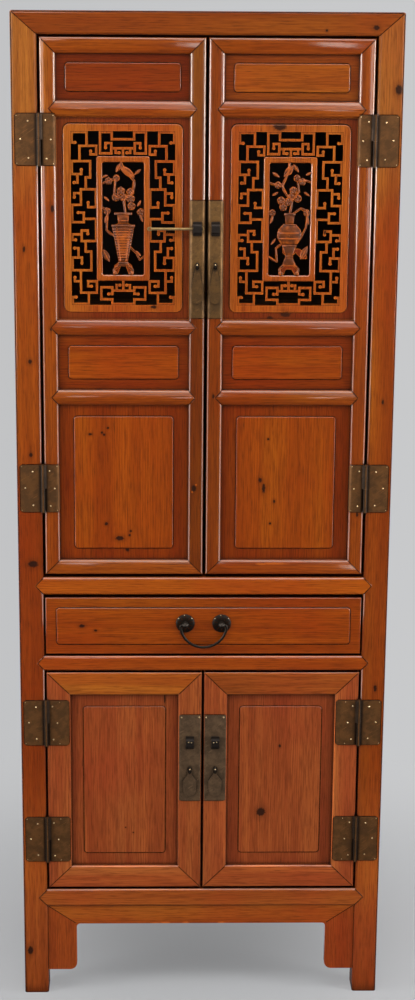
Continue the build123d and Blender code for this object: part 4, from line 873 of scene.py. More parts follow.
# Knots, specks, worn spots and painted highlight lines are ovals: x, z, half width, half height (mm).
KNOTS = {
    "front_posts": (
        (-322, 888, 9, 6), (-323, 1099, 3, 4), (-322, 1274, 3, 4), (-330, 1480, 2, 5),
        (-338, 92, 5, 8), (341, 1766, 6, 8), (329, 1200, 2, 4), (331, 640, 3, 6),
    ),
    "top_long_rails": ((298, 1873, 5, 4), (210, 1868, 2, 2)),
    "upper_left_stiles": ((-278, 1553, 3, 6), (-283, 1335, 2, 4), (-20, 1035, 4, 6)),
    "upper_right_stiles": ((15, 1210, 2, 4), (287, 985, 2, 4)),
    "upper_left_panels": (
        (-213, 1137, 3, 2), (-191, 1140, 2, 2), (-187, 1136, 2, 2), (-180, 1149, 2, 2),
        (-184, 965, 3, 3), (-159, 937, 7, 4), (-138, 951, 2, 2), (-140, 943, 2, 2),
        (-144, 914, 3, 3),
    ),
    "upper_right_panels": (
        (104, 1050, 3, 4), (111, 1034, 3, 8), (131, 1009, 2, 3), (124, 966, 2, 2),
        (118, 1128, 2, 2),
    ),
    "upper_left_lattice": ((-95, 1375, 5, 3),),
    "upper_right_lattice": ((130, 1700, 11, 6), (146, 1362, 9, 5), (215, 1512, 2, 4),
                            (118, 1355, 5, 3)),
    "drawer_front": ((-231, 766, 5, 3), (-205, 757, 3, 2)),
    "lower_left_panel": (
        (-149, 351, 1.2, 1.2), (-134, 340, 1.2, 1.2), (-73, 617, 1.6, 11), (-69, 632, 1.6, 8),
        (-167, 638, 10, 2), (-177, 633, 7, 2), (-158, 633, 6, 2),
    ),
    "lower_right_panel": ((115, 383, 8, 8), (150, 520, 2, 3)),
}
# Worn spots, and thin ovals along the edges of rails and stiles that are painted highlight lines.
WORN_AND_HIGHLIGHTS = {
    "front_apron": ((-90, 148, 9, 2), (-71, 149, 10, 2), (-30, 149, 7, 2), (40, 149, 8, 2)),
    "upper_right_rails": ((108, 888, 10, 2), (134, 889, 26, 2)),
    "upper_left_stiles": ((-16, 1042, 2, 2), (-23, 1028, 2, 2)),
    "lower_left_stiles": ((-48, 455, 2, 190),),
    "lower_right_stiles": ((255, 450, 2, 185), (48, 400, 1, 100)),
    "lower_left_rails": ((-150, 271, 100, 2),),
    "lower_right_rails": ((120, 271, 60, 2),),
    "bottom_front_rail": ((-120, 221, 140, 1),),
    "drawer_rail": ((0, 704, 260, 1),),
}
# Single boards beside their neighbours: factors on red, green and blue.
TONES = {
    "top_long_rails": (0.80, 0.80, 0.80), "upper_front_rail": (1.38, 1.52, 1.20),
    "drawer_rail": (1.15, 1.08, 1.00), "bottom_front_rail": (1.18, 1.42, 3.00),
    "front_apron": (1.17, 1.28, 2.00), "apron_spandrels": (1.12, 1.15, 2.40),
    "lower_left_rails": (1.12, 1.12, 1.00), "lower_right_rails": (1.10, 1.10, 1.00),
    "lower_left_stiles": (1.12, 1.18, 1.20), "lower_right_stiles": (1.22, 1.25, 1.30),
}
# Stretches of another tone: low edge, high edge (m), and factors on red, green and blue.
# The pale golden stretches high on the front posts, the left upper stiles and the right upper
# panels are painted sheen.
TONE_AND_SHEEN_STRETCHES = {
    "front_posts": ((0.42, 1.00, (0.84, 0.74, 0.8)), (1.70, 1.95, (1.20, 1.90, 3.9)),
                    (0.12, 0.30, (1.36, 1.62, 2.8)), (0.0, 0.10, (0.76, 0.70, 0.95))),
    "rear_posts": ((0.42, 1.10, (0.84, 0.74, 0.8)),),
    "upper_left_stiles": ((1.70, 1.95, (1.15, 1.5, 2.0)),),
    "upper_left_panels": ((1.80, 1.90, (0.76, 0.66, 0.8)),),
    "lower_left_rails": ((0.62, 0.70, (1.32, 1.50, 0.7)),),
    "lower_right_rails": ((0.62, 0.70, (1.10, 1.20, 0.8)),),
    "upper_right_panels": ((1.80, 1.90, (1.05, 1.35, 2.0)),),
    "apron_spandrels": ((0.0, 0.10, (0.88, 0.8, 0.8)),),
}
STRETCH_SOFT = 0.2            # a stretch fades out over this height, m
# How far the first board lies in the figure, and each next one further.
BOARD_START, BOARD_STEP = (0.29, 0.11, 0.0), (0.17, 0.05, 0.4)
# Boards whose faces turned inside the case take on the dark inside colour.
DARKENED_INSIDE = ("side_panels", "back_panels", "side_rails", "back_rails")


class CABINET_OT_case(Operator):
    """Lacquered posts, rails, panels and aprons of the case"""

    bl_idname = "cabinet.case"
    bl_label = "Case"

    def execute(self, context):
        wood = settings()[1]
        for index, (node, grain) in enumerate(CASE_BOARDS):
            offset = tuple(start + step * index for start, step in zip(BOARD_START, BOARD_STEP))
            stained = node in DARKENED_INSIDE
            dress(node, lacquered(node, grain, wood.case_wood, offset, darkened_inside=stained))
            soften(node, wood.edge_round)
        return {"FINISHED"}


INSIDE_BOARDS = (
    ("upper_floor", "X"), ("lower_floor", "X"), ("shelf", "X"), ("shelf_battens", "Y"),
    ("drawer_runners", "Y"), ("drawer_box", "Y"), ("drawer_bottom", "X"),
)


class CABINET_OT_inside(Operator):
    """Plain boards inside the case and the drawer"""

    bl_idname = "cabinet.inside"
    bl_label = "Inside boards"

    def execute(self, context):
        finishes = {grain: plain_board("dry_wood_" + grain.lower(), grain) for grain in "XY"}
        for node, grain in INSIDE_BOARDS:
            dress(node, finishes[grain])
            soften(node, settings()[1].edge_round)
        return {"FINISHED"}


# ------------------------------------------------------------------ seams of the joints
SEAM_STEP = 1.5               # mm between the points at which a seam touches the wood
SEAM_RISE = 0.15 * MM
SEAM_INSET = 2.0              # a seam ends this far short of an outer corner, mm
# Front rails of the case: bottom and top edges. Their shoulders are at the posts.
CASE_RAILS = ((827.0, 862.0), (675.5, 706.0), (186.0, 223.0))
SHOULDER = 302.5
CASE_HALF, CASE_TOP, TOP_RAIL = 350.0, 1900.0, 42.0
APRON_MITRE = ((301.0, 185.0), (248.0, 148.8))
LEAF_SHADOW_GAP = 0.8                 # the painted shadow line round a metal leaf runs this far outside it, mm
LEAF_ROUND = 4.0
EDGE_GAP, LEAF_GAP = 1.0, 2.0             # dark lines end this far short of a frame's edges
UPPER_FRAME, LOWER_FRAME = 29.0, 45.0
DOOR_NEAR, DOOR_FAR = 2.0, 299.5          # edges of a door, from the middle line
UPPER_DOOR, LOWER_DOOR = (867.0, 1855.0), (227.0, 672.0)
MID_RAILS = (1730.0, 1337.0, 1207.0)
# Heights of the hinges and of the lock plates: low and high edge.
HINGES = {"upper": ((1630.5, 1721.0), (990.0, 1079.5)), "lower": ((525.5, 615.5), (283.5, 375.0))}
POST_LEAF = (306.0, 343.0)                # near and far edge of the hinge leaves on the posts
UPPER_PLATE, LOWER_PLATE, PLATE_WIDTH = (1355.5, 1568.5), (410.0, 586.0), 42.0
SEAMED_NODES = (
    "front_posts", "top_long_rails", "upper_front_rail", "drawer_rail", "bottom_front_rail",
    "front_apron", "apron_spandrels",
)


def seam(mesh, face, start, end, width):
    """Dark line from start to end (x, z in mm) over the front surface that face gives."""
    start, run = Vector(start), Vector(end) - Vector(start)
    across = Vector((-run.y, run.x)).normalized() * width / 2
    count = max(2, round(run.length / SEAM_STEP))
    rows = []
    for index in range(count + 1):
        spot = (start + run * index / count) * MM
        row = []
        for side, rise in ((-1, SEAM_RISE), (1, SEAM_RISE), (1, -SEAM_RISE), (-1, -SEAM_RISE)):
            x, z = spot + across * side
            row.append(mesh.verts.new((x, face(x, z) - rise, z)))
        rows.append(row)
    for first, second in zip(rows, rows[1:]):
        close_ring(mesh, first, second)
    mesh.faces.new(rows[0])
    mesh.faces.new(list(reversed(rows[-1])))


def mitre_lines(low, high, near, far, width):
    """Corner mitres of a frame between heights low and high and from x near to x far (mm)."""
    reach = width - SEAM_INSET
    for x, right in ((near, 1), (far, -1)):
        for z, up in ((low, 1), (high, -1)):
            outer = (x + right * SEAM_INSET, z + up * SEAM_INSET)
            yield outer, (x + right * reach, z + up * reach)


def pointed_lines(middle, half_height, shoulder, outward):
    """Two lines of a pointed rail end whose shoulders are at x shoulder (mm)."""
    tip = (shoulder + outward * (half_height - SEAM_INSET), middle)
    for up in (-1, 1):
        height = middle + up * (half_height - SEAM_INSET)
        yield (shoulder + outward * SEAM_INSET / 2, height), tip


def leaf_shadow_lines(near, far, low, high):
    """Painted shadow lines above, below and beyond the far edge of a metal leaf (mm)."""
    inward = math.copysign(LEAF_ROUND, near - far)
    edge = far - math.copysign(LEAF_SHADOW_GAP, near - far)
    low, high = low - LEAF_SHADOW_GAP, high + LEAF_SHADOW_GAP
    corners = (
        (near, high), (far + inward, high), (edge, high - LEAF_ROUND),
        (edge, low + LEAF_ROUND), (far + inward, low), (near, low),
    )
    return list(zip(corners, corners[1:]))


class CABINET_OT_seams(Operator):
    """Dark seams of the joints, painted shadows round the metal leaves, painted shade on the outer edges
    """

    bl_idname = "cabinet.seams"
    bl_label = "Seams"

    def execute(self, context):
        finish = wax_and_shade_finish("seam_wax")
        self.lay("case_seams", "cabinet", SEAMED_NODES, self.case_lines(), finish)
        for side in SIDES:
            for level, lines in (("upper", self.upper_lines()), ("lower", self.lower_lines())):
                placed = [[(x * sign_of(side), z) for x, z in line] for line in lines]
                nodes = (f"{level}_{side}_stiles", f"{level}_{side}_rails")
                # Each door's piece holds its seams and the painted shadow lines round its metal leaves.
                self.lay(f"{level}_{side}_seams", f"{level}_{side}_door", nodes, placed, finish)
        return {"FINISHED"}

    @staticmethod
    def lay(name, body, nodes, lines, finish):
        """One piece with a seam along each line."""
        mesh = bmesh.new()
        face = surface_finder(*nodes)
        for start, end in lines:
            seam(mesh, face, start, end, settings()[1].seam_width)
        make_piece(name, mesh, body, finish, False)

    @staticmethod
    def case_lines():
        """Lines of the case: painted shade on the outer edges, a dark top edge, the mitres, the
        pointed rail ends, and painted shadows round the hinge leaves.
        """
        top_edge = CASE_TOP - SEAM_INSET
        lines = [((2 * SEAM_INSET - CASE_HALF, top_edge), (CASE_HALF - 2 * SEAM_INSET, top_edge))]
        for side in (-1, 1):
            edge = side * (CASE_HALF - SEAM_INSET)
            inner = (side * (SHOULDER + EDGE_GAP), CASE_TOP - TOP_RAIL + EDGE_GAP)
            # Painted shade along the outer edge.
            lines.append(((edge, SEAM_INSET), (edge, CASE_TOP - 2 * SEAM_INSET)))
            lines.append(((edge, top_edge), inner))
            lines.append([(side * x, z) for x, z in APRON_MITRE])
            for low, high in HINGES["upper"] + HINGES["lower"]:
                lines += leaf_shadow_lines(*(side * x for x in POST_LEAF), low, high)
            for low, high in CASE_RAILS:
                lines += pointed_lines((low + high) / 2, (high - low) / 2, side * SHOULDER, side)
        return lines

    @staticmethod
    def upper_lines():
        """Seams of an upper door, and painted shadow lines above and below its leaves, with x from the
        middle line outwards.
        """
        lines = list(mitre_lines(*UPPER_DOOR, DOOR_NEAR, DOOR_FAR, UPPER_FRAME))
        for middle in MID_RAILS:
            lines += pointed_lines(middle, UPPER_FRAME / 2, DOOR_NEAR + UPPER_FRAME, -1)
            lines += pointed_lines(middle, UPPER_FRAME / 2, DOOR_FAR - UPPER_FRAME, 1)
        leaves = [(DOOR_NEAR, UPPER_PLATE)]
        leaves += [(DOOR_FAR - UPPER_FRAME, span) for span in HINGES["upper"]]
        # Painted shadow lines above and below each leaf.
        for edge, (low, high) in leaves:
            for z in (low - LEAF_SHADOW_GAP, high + LEAF_SHADOW_GAP):
                lines.append(((edge + EDGE_GAP, z), (edge + UPPER_FRAME - LEAF_GAP, z)))
        return lines

    @staticmethod
    def lower_lines():
        """Seams of a lower door, and painted shadow lines round its leaves, with x from the middle line
        outwards.
        """
        lines = list(mitre_lines(*LOWER_DOOR, DOOR_NEAR, DOOR_FAR, LOWER_FRAME))
        lines += leaf_shadow_lines(DOOR_NEAR + EDGE_GAP, DOOR_NEAR + PLATE_WIDTH, *LOWER_PLATE)
        for span in HINGES["lower"]:
            lines += leaf_shadow_lines(DOOR_FAR - LEAF_GAP, DOOR_FAR - PLATE_WIDTH, *span)
        return lines


# ------------------------------------------------------------------ doors
# How far left and right boards lie to either side in the figure, so that none look alike.
FRAME_SHIFT, PANEL_SHIFT, FRET_SHIFT = 0.13, 0.09, 0.2
HAND_DARKENED = 34 * MM       # how far from the middle line hands have darkened the stiles
HAND_SHADE = {
    ("upper", "left"): 0.62, ("upper", "right"): 0.82,
    ("lower", "left"): 0.92, ("lower", "right"): 0.92,
}


class CABINET_OT_door_frames(Operator):
    """Stiles and rails of the four doors"""

    bl_idname = "cabinet.door_frames"
    bl_label = "Door frames"

    def execute(self, context):
        wood = settings()[1]
        for level, tone in (("upper", wood.upper_wood), ("lower", wood.lower_wood)):
            for side in SIDES:
                shift = FRAME_SHIFT * sign_of(side)
                stiles, rails = (f"{level}_{side}_{part}" for part in ("stiles", "rails"))
                shade = (HAND_DARKENED, HAND_SHADE[level, side])
                dress(stiles, lacquered(stiles, "Z", tone, (0.4 + shift, 0.2, shift), shade))
                dress(rails, lacquered(rails, "X", tone, (shift, 0.2, 0.45 + shift)))
                soften(stiles, wood.edge_round, bowed=True)
                soften(rails, wood.edge_round)
        return {"FINISHED"}


FLAT_GRAIN_ABOVE = 1.2        # the two small panels above this height have level grain
PANEL_FACE = -0.202           # y of the panels' margins
DRAWER_FACE = -0.209          # y of the drawer front's margin
# Brightness of the sunk margins beside the raised fields.
UPPER_MARGIN, LOWER_MARGIN, FRET_MARGIN, DRAWER_MARGIN = 0.74, 0.90, 0.54, 0.92
FRET_EDGES = (0.75, 1.45)     # how much the fret's arrises are paled, as rubbed wear and as painted highlight, how pale they are


class CABINET_OT_panels(Operator):
    """Fielded panels of the four doors"""

    bl_idname = "cabinet.panels"
    bl_label = "Door panels"

    def execute(self, context):
        wood = settings()[1]
        for side in SIDES:
            shift = PANEL_SHIFT * sign_of(side)
            upper, lower = f"upper_{side}_panels", f"lower_{side}_panel"
            dress(upper, lacquered(
                upper, "Z", wood.panel_wood, (0.5 + shift, 0.15, 0.2),
                flat_above=FLAT_GRAIN_ABOVE, margin=(PANEL_FACE, UPPER_MARGIN),
            ))
            dress(lower, lacquered(
                lower, "Z", wood.lower_wood, (0.6 + shift, 0.25, 0.7),
                margin=(PANEL_FACE, LOWER_MARGIN),
            ))
            soften(upper, wood.field_round)
            soften(lower, wood.edge_round)
        return {"FINISHED"}


class CABINET_OT_fretwork(Operator):
    """Pierced key-fret boards of the upper doors"""

    bl_idname = "cabinet.fretwork"
    bl_label = "Fretwork"

    def execute(self, context):
        wood = settings()[1]
        for side in SIDES:
            node = f"upper_{side}_lattice"
            dress(node, lacquered(
                node, "Z", wood.lattice_wood, (0.35 + FRET_SHIFT * sign_of(side), 0.1, 0.3),
                margin=(PANEL_FACE, FRET_MARGIN), edges=FRET_EDGES,
            ))
            soften(node, wood.fret_round, pierced=True)
        return {"FINISHED"}


DOOR_MIDDLE = (DOOR_NEAR + DOOR_FAR) / 2
FIELD_CORNER = 6.0
# Raised fields of an upper door and a lower door: middle height, width, height, corner (mm).
UPPER_FIELDS = (
    (1785.25, 205.5, 49.5, FIELD_CORNER), (1535.5, 215.0, 338.0, 12.0),
    (1272.0, 201.5, 61.0, FIELD_CORNER), (1044.25, 183.5, 252.5, FIELD_CORNER),
)
LOWER_FIELDS = ((449.5, 157.5, 303.0, FIELD_CORNER),)
DRAWER_FIELD = (558.0, 72.0)
LINE_SINK = 0.3 * MM          # how far a wax line's foot is sunk into the margin


def rounded_rectangle(x, z, half_width, half_height, corner, steps=6):
    """Points of a rounded rectangle about (x, z), anticlockwise."""
    points = []
    for quarter, (right, up) in enumerate(((1, 1), (-1, 1), (-1, -1), (1, -1))):
        centre_x = x + right * (half_width - corner)
        centre_z = z + up * (half_height - corner)
        for step in range(steps + 1):
            angle = math.pi / 2 * (quarter + step / steps)
            points.append((centre_x + corner * math.cos(angle), centre_z + corner * math.sin(angle)))
    return points


def wax_line(mesh, x, z, width, height, corner, base_y):
    """Thin dark line that lies round a raised field, partly wax and partly painted shade (mm; base_y in
    metres).
    """
    wood = settings()[1]
    inner = rounded_rectangle(x, z, width / 2, height / 2, corner)
    reach = wood.line_width / MM
    outer = rounded_rectangle(x, z, width / 2 + reach, height / 2 + reach, corner + reach)
    rings = []
    foot, top = base_y + LINE_SINK, base_y - wood.line_rise
    for points, y in ((outer, foot), (outer, top), (inner, top), (inner, foot)):
        rings.append([mesh.verts.new((px * MM, y, pz * MM)) for px, pz in points])
    for first, second in zip(rings, rings[1:] + rings[:1]):
        close_ring(mesh, first, second)


class CABINET_OT_wax_lines(Operator):
    """Dark lines round the raised fields: wax in the groove and painted shade"""

    bl_idname = "cabinet.wax_lines"
    bl_label = "Wax lines"

    def execute(self, context):
        finish = wax_and_shade_finish("dark_wax")
        for level, fields in (("upper", UPPER_FIELDS), ("lower", LOWER_FIELDS)):
            for side in SIDES:
                mesh = bmesh.new()
                for height, width, tall, corner in fields:
                    x = DOOR_MIDDLE * sign_of(side)
                    wax_line(mesh, x, height, width, tall, corner, PANEL_FACE)
                body = f"{level}_{side}_door"
                make_piece(f"{level}_{side}_wax_lines", mesh, body, finish, False)
        mesh = bmesh.new()
        low, high = (Vector(corner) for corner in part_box("drawer_front"))
        middle = (low + high) / 2 / MM
        wax_line(mesh, middle.x, middle.z, *DRAWER_FIELD, FIELD_CORNER, DRAWER_FACE)
        make_piece("drawer_wax_line", mesh, "drawer", finish, False)
        return {"FINISHED"}


# ------------------------------------------------------------------ carvings
MEDALLION_HEIGHT = 1534.5     # z of the medallions' middle, mm
# Both motifs are given in mm from the medallion's middle. Forms have an outline and a
# crown, bands their ends and a width, stems a path and a width, blossoms and curls a place
# and a radius. Leaves have a place, a length, a width and an angle in degrees. The weave
# has its top and bottom, and half its width at either.
TALL_VASE = {
    "forms": (
        (((-20.5, -12), (20.5, -12), (8, -78), (-8, -78)), 3.0),
        (((-9, -9), (9, -9), (10.5, 7), (-10.5, 7)), 2.2),
        (((-8, -79), (8, -79), (12, -86), (-12, -86)), 2.2),
    ),
    "bands": (
        ((-16, 9.5), (16, 9.5), 4.4), ((-21, -12), (21, -12), 3.6), ((-9, -79), (9, -79), 3.0),
        ((-12, -15), (-5, -76), 2.2), ((12, -15), (5, -76), 2.2), ((-8, -3), (8, -3), 2.0),
    ),
    "weave": (-18, -74, 19.0, 8.5),
    "stems": (
        (((4, 8), (2, 34), (16, 46), (20, 68), (2, 88), (-4, 102)), 3.4),
        (((2, 34), (-16, 44), (-14, 70), (-28, 68), (-37, 63)), 2.8),
        (((-17, -30), (-30, -20), (-28, 14), (-37, 20)), 2.6),
        (((12, -50), (24, -62), (30, -74), (37, -67)), 2.6),
        (((-10, -86), (-17, -92), (-15, -100)), 4.6), (((10, -86), (17, -92), (15, -100)), 4.6),
    ),
    "blossoms": (
        (-4, 50, 8.0), (-13, 39, 7.5), (2, 38, 7.0), (14, 36, 7.5), (13, 49, 6.5), (15, 23, 7.5),
        (-26, 68, 7.0), (-12, 73, 6.0), (-29, 14, 6.5), (31, 12, 6.5),
    ),
    "leaves": (
        (8, 84, 32, 13, -38), (-8, 92, 20, 8, 62), (26, 84, 16, 6, 40), (33, 2, 16, 6, -70),
        (-31, 0, 16, 6, 75), (-31, -66, 26, 11, -62), (-33, 76, 12, 5, 20), (29, 28, 13, 5, 60),
        (-30, 36, 13, 5, -40), (27, -62, 14, 5, -45),
    ),
    "curls": ((-15, -98, 4.0), (15, -98, 4.0)),
}
ROUND_VASE = {
    "forms": (
        (((-20, -18), (-12, -9), (12, -9), (20, -18), (22, -30), (13, -46), (-13, -46), (-22, -30)), 3.4),
        (((-7, -8), (7, -8), (8.5, 8), (-8.5, 8)), 2.2),
        (((-12, -48), (12, -48), (6, -66), (-6, -66)), 2.4),
        (((-6, -66), (6, -66), (13, -84), (-13, -84)), 2.0),
    ),
    "bands": (
        ((-10, 10), (10, 10), 4.0), ((-12, -9.5), (12, -9.5), 2.6), ((-22, -24), (22, -24), 2.2),
        ((-21, -34), (21, -34), 2.2), ((-13, -47), (13, -47), 3.0), ((-7, -66), (7, -66), 3.0),
    ),
    "weave": None,
    "stems": (
        (((0, 8), (4, 34), (-6, 44), (-14, 60), (-4, 84), (-2, 102)), 3.4),
        (((4, 34), (16, 50), (14, 66), (28, 70), (37, 67)), 2.8),
        (((6, 10), (20, 20), (32, 12), (30, -14), (20, -34)), 2.8),
        (((-14, -44), (-24, -52), (-22, -76), (-37, -68)), 2.6),
        (((-14, 60), (-24, 62), (-37, 66)), 2.6),
        (((-8, -82), (-17, -90), (-15, -100)), 4.2), (((8, -82), (17, -90), (15, -100)), 4.2),
    ),
    "blossoms": (
        (-16, 34, 7.5), (-12, 22, 7.0), (2, 40, 7.5), (14, 38, 7.0), (-4, 31, 6.5), (6, 52, 7.0),
        (22, 68, 7.0), (12, 75, 6.0), (-22, 62, 6.5), (-32, 12, 6.5), (31, 12, 6.5), (0, -29, 6.0),
    ),
    "leaves": (
        (-3, 87, 28, 12, 50), (10, 92, 18, 7, -55), (-26, 80, 16, 6, -35), (-33, 0, 16, 6, 72),
        (27, -60, 28, 11, 62), (33, -2, 15, 6, -75), (-27, 46, 13, 5, 30), (30, 46, 13, 5, -35),
        (-29, -40, 14, 5, 55), (33, 82, 12, 5, 25),
    ),
    "curls": ((-15, -98, 4.0), (15, -98, 4.0)),
}


def eased(points, steps=5):
    """Smooth path through points, by Catmull-Rom spans."""
    knots = [Vector(point) for point in points]
    knots = [knots[0], *knots, knots[-1]]
    path = []
    for before, start, end, after in zip(knots, knots[1:], knots[2:], knots[3:]):
        for step in range(steps):
            t = step / steps
            path.append(0.5 * (
                2 * start + (end - before) * t + (2 * before - 5 * start + 4 * end - after) * t * t
                + (3 * start - before - 3 * end + after) * t ** 3
            ))
    path.append(knots[-2])
    return path


# How high the forms rise (mm), and how far above the ground some of them start.
STEM_CROWN, CURL_CROWN, PETAL_CROWN, LEAF_CROWN = 1.6, 2.4, 2.0, 1.5
BAND_CROWN, BAND_LIFT = 1.3, 1.8
EYE_CROWN, EYE_LIFT = 1.6, 1.0
RIB_WIDTH, RIB_CROWN, RIB_LIFT = 1.3, 0.8, 1.1
STRAND_WIDTH, STRAND_CROWN, STRAND_LIFT = 2.2, 0.7, 2.2
OVAL_SIDES, PETALS, LEAF_SPANS, STRANDS = 10, 5, 6, 13
# Parts of a blossom, as shares of its radius, and of a leaf, as a share of its length.
PETAL_REACH, PETAL_LENGTH, PETAL_WIDTH, EYE = 0.56, 0.46, 0.40, 0.24
RIB_SHARE = 0.46


class Carver:
    """Adds relief forms, given in mm from the medallion's middle, to one mesh."""

    def __init__(self, middle_x, middle_z, face_y):
        self.mesh = bmesh.new()
        self.origin = Vector((middle_x, middle_z))
        self.face_y = face_y

    def placed(self, points):
        """Points from mm about the medallion's middle to metres."""
        return [(self.origin + Vector(point)) * MM for point in points]

    def form(self, outline, crown, lift=0.0):
        """Pillow over an outline."""
        crowned(self.mesh, self.placed(outline), self.face_y - lift * MM, crown * MM)

    def strip(self, points, width, crown, lift=0.0):
        """Half-round strip along a path."""
        bead_line(self.mesh, self.placed(points), width * MM, self.face_y - lift * MM, crown * MM)

    def oval(self, x, z, half_length, half_width, angle, crown, lift=0.0):
        """Small oval pillow, turned by an angle in radians."""
        outline = []
        for index in range(OVAL_SIDES):
            turn = 2 * math.pi * index / OVAL_SIDES
            along, across = half_length * math.cos(turn), half_width * math.sin(turn)
            outline.append((
                x + along * math.cos(angle) - across * math.sin(angle),
                z + along * math.sin(angle) + across * math.cos(angle),
            ))
        self.form(outline, crown, lift)

    def blossom(self, x, z, radius):
        """Five petals round a domed eye."""
        long, wide, eye = radius * PETAL_LENGTH, radius * PETAL_WIDTH, radius * EYE
        for petal in range(PETALS):
            angle = math.pi / 2 + 2 * math.pi * petal / PETALS
            reach = radius * PETAL_REACH
            petal_x, petal_z = x + reach * math.cos(angle), z + reach * math.sin(angle)
            self.oval(petal_x, petal_z, long, wide, angle, PETAL_CROWN)
        self.oval(x, z, eye, eye, 0.0, EYE_CROWN, lift=EYE_LIFT)

    def leaf(self, x, z, long, wide, degrees):
        """Pointed leaf with a raised midrib."""
        angle = math.radians(degrees)
        ahead = Vector((math.cos(angle), math.sin(angle)))
        aside = Vector((-math.sin(angle), math.cos(angle)))
        middle = Vector((x, z))
        edge = []
        for index in range(LEAF_SPANS + 1):
            share_along = index / LEAF_SPANS
            swell = math.sin(math.pi * share_along) ** 0.85 * wide / 2
            edge.append((ahead * (share_along - 0.5) * long, aside * swell))
        upper = [middle + along + across for along, across in edge]
        lower = [middle + along - across for along, across in edge[1:-1]]
        self.form(upper[::-1] + lower, LEAF_CROWN)
        rib = ahead * long * RIB_SHARE
        self.strip([middle - rib, middle, middle + rib], RIB_WIDTH, RIB_CROWN, lift=RIB_LIFT)


class CABINET_OT_carvings(Operator):
    """Carved vases and blossoms in the medallions"""

    bl_idname = "cabinet.carvings"
    bl_label = "Carvings"

    def execute(self, context):
        finish = carved_finish()
        for side, motif in zip(SIDES, (TALL_VASE, ROUND_VASE)):
            carver = Carver(DOOR_MIDDLE * sign_of(side), MEDALLION_HEIGHT, PANEL_FACE)
            for path, width in motif["stems"]:
                carver.strip(eased(path), width, STEM_CROWN)
            for leaf in motif["leaves"]:
                carver.leaf(*leaf)
            for blossom in motif["blossoms"]:
                carver.blossom(*blossom)
            for outline, crown in motif["forms"]:
                carver.form(outline, crown)
            for start, end, width in motif["bands"]:
                carver.strip([start, end], width, BAND_CROWN, lift=BAND_LIFT)
            for x, z, radius in motif["curls"]:
                carver.oval(x, z, radius, radius, 0.0, CURL_CROWN)
            if motif["weave"]:
                self.weave(carver, *motif["weave"])
            make_piece(f"upper_{side}_carving", carver.mesh, f"upper_{side}_door", finish)
        return {"FINISHED"}

    @staticmethod
    def weave(carver, top, bottom, top_half, bottom_half):
        """Level strands of basket weave across a tapered vase."""
        for index in range(STRANDS):
            height = top + (bottom - top) * index / (STRANDS - 1)
            half = top_half + (bottom_half - top_half) * index / (STRANDS - 1)
            strand = [(-half, height), (half, height)]
            carver.strip(strand, STRAND_WIDTH, STRAND_CROWN, lift=STRAND_LIFT)


CARVED_SCALE, CARVED_FADE, CARVED_SHADES = 90.0, (0.38, 0.64), (0.6, 1.25)
CARVED_PATCHES = (0.55, 0.75, 0.0, 0.7)   # paler wood that shows through
CARVED_HOLLOW_SHADE_FADE = (0.92, 0.50, 0.0, 0.95)
CARVED_RUB_AND_HIGHLIGHT, CARVED_RUB_AND_HIGHLIGHT_FADE = 1.3 * MM, (0.80, 0.45, 0.0, 0.65)
CARVED_ROUGHNESS = (0.5, 0.35)


def carved_finish():
    """Rose-brown lacquer of the carvings, with painted shade in the hollows, and pale on top,
    partly rubbed and partly painted highlight.
    """
    wood = settings()[1]
    material, recipe, shader = start_finish("carved_wood")
    patches = recipe.noise(recipe.place(), CARVED_SCALE, detail=4.0)
    dark, pale = (opaque(wood.carving_wood, shade) for shade in CARVED_SHADES)
    body = recipe.over(dark, patches, CARVED_FADE, pale)
    body = recipe.over(body, patches, CARVED_PATCHES, opaque(wood.lattice_wood, 1.1))
    # Painted shade in the hollows.
    openness = recipe.occlusion(CORNER_SHADE_REACH)
    body = recipe.over(body, openness, CARVED_HOLLOW_SHADE_FADE, opaque(wood.wax))
    # Pale on top: partly rubbed wear, partly painted highlight.
    solidity = recipe.occlusion(CARVED_RUB_AND_HIGHLIGHT, inside=True)
    body = recipe.over(body, solidity, CARVED_RUB_AND_HIGHLIGHT_FADE, opaque(wood.lattice_wood, 1.15))
    bump = recipe.node("Bump", {"Strength": 0.4, "Distance": 0.4 * MM, "Height": patches})
    recipe.feed(shader.inputs["Base Color"], body)
    recipe.feed(shader.inputs["Roughness"], recipe.fade(patches, *SPREAD, *CARVED_ROUGHNESS))
    recipe.feed(shader.inputs["Normal"], bump.outputs[0])
    shader.inputs["Specular IOR Level"].default_value = 0.1
    shader.inputs["Coat Weight"].default_value = 0.2
    shader.inputs["Coat Roughness"].default_value = 0.16
    shader.inputs["Coat IOR"].default_value = 1.4
    return material


# ------------------------------------------------------------------ drawer
class CABINET_OT_drawer(Operator):
    """Front of the drawer"""

    bl_idname = "cabinet.drawer"
    bl_label = "Drawer front"

    def execute(self, context):
        wood = settings()[1]
        dress("drawer_front", lacquered(
            "drawer_front", "X", wood.panel_wood, (0.1, 0.3, 0.5),
            margin=(DRAWER_FACE, DRAWER_MARGIN),
        ))
        soften("drawer_front", wood.edge_round)
        return {"FINISHED"}


# ------------------------------------------------------------------ metal fittings
PIVOT_X = 301.0               # x of the hinge pins, mm
# Nails of a leaf: distance from the pin (mm), share of the leaf's height, and size beside
# that of a whole nail. The small ones, at the leaf's corners, are painted glints.
POST_NAILS = (
    (19.2, 0.86, 1.0), (33.0, 0.51, 1.0), (18.6, 0.14, 1.0), (39.5, 0.965, 0.5), (39.5, 0.035, 0.5),
)
DOOR_NAILS = (
    (12.2, 0.875, 1.0), (21.5, 0.50, 1.0), (13.8, 0.125, 1.0), (26.0, 0.970, 0.5),
    (26.0, 0.030, 0.5),
)
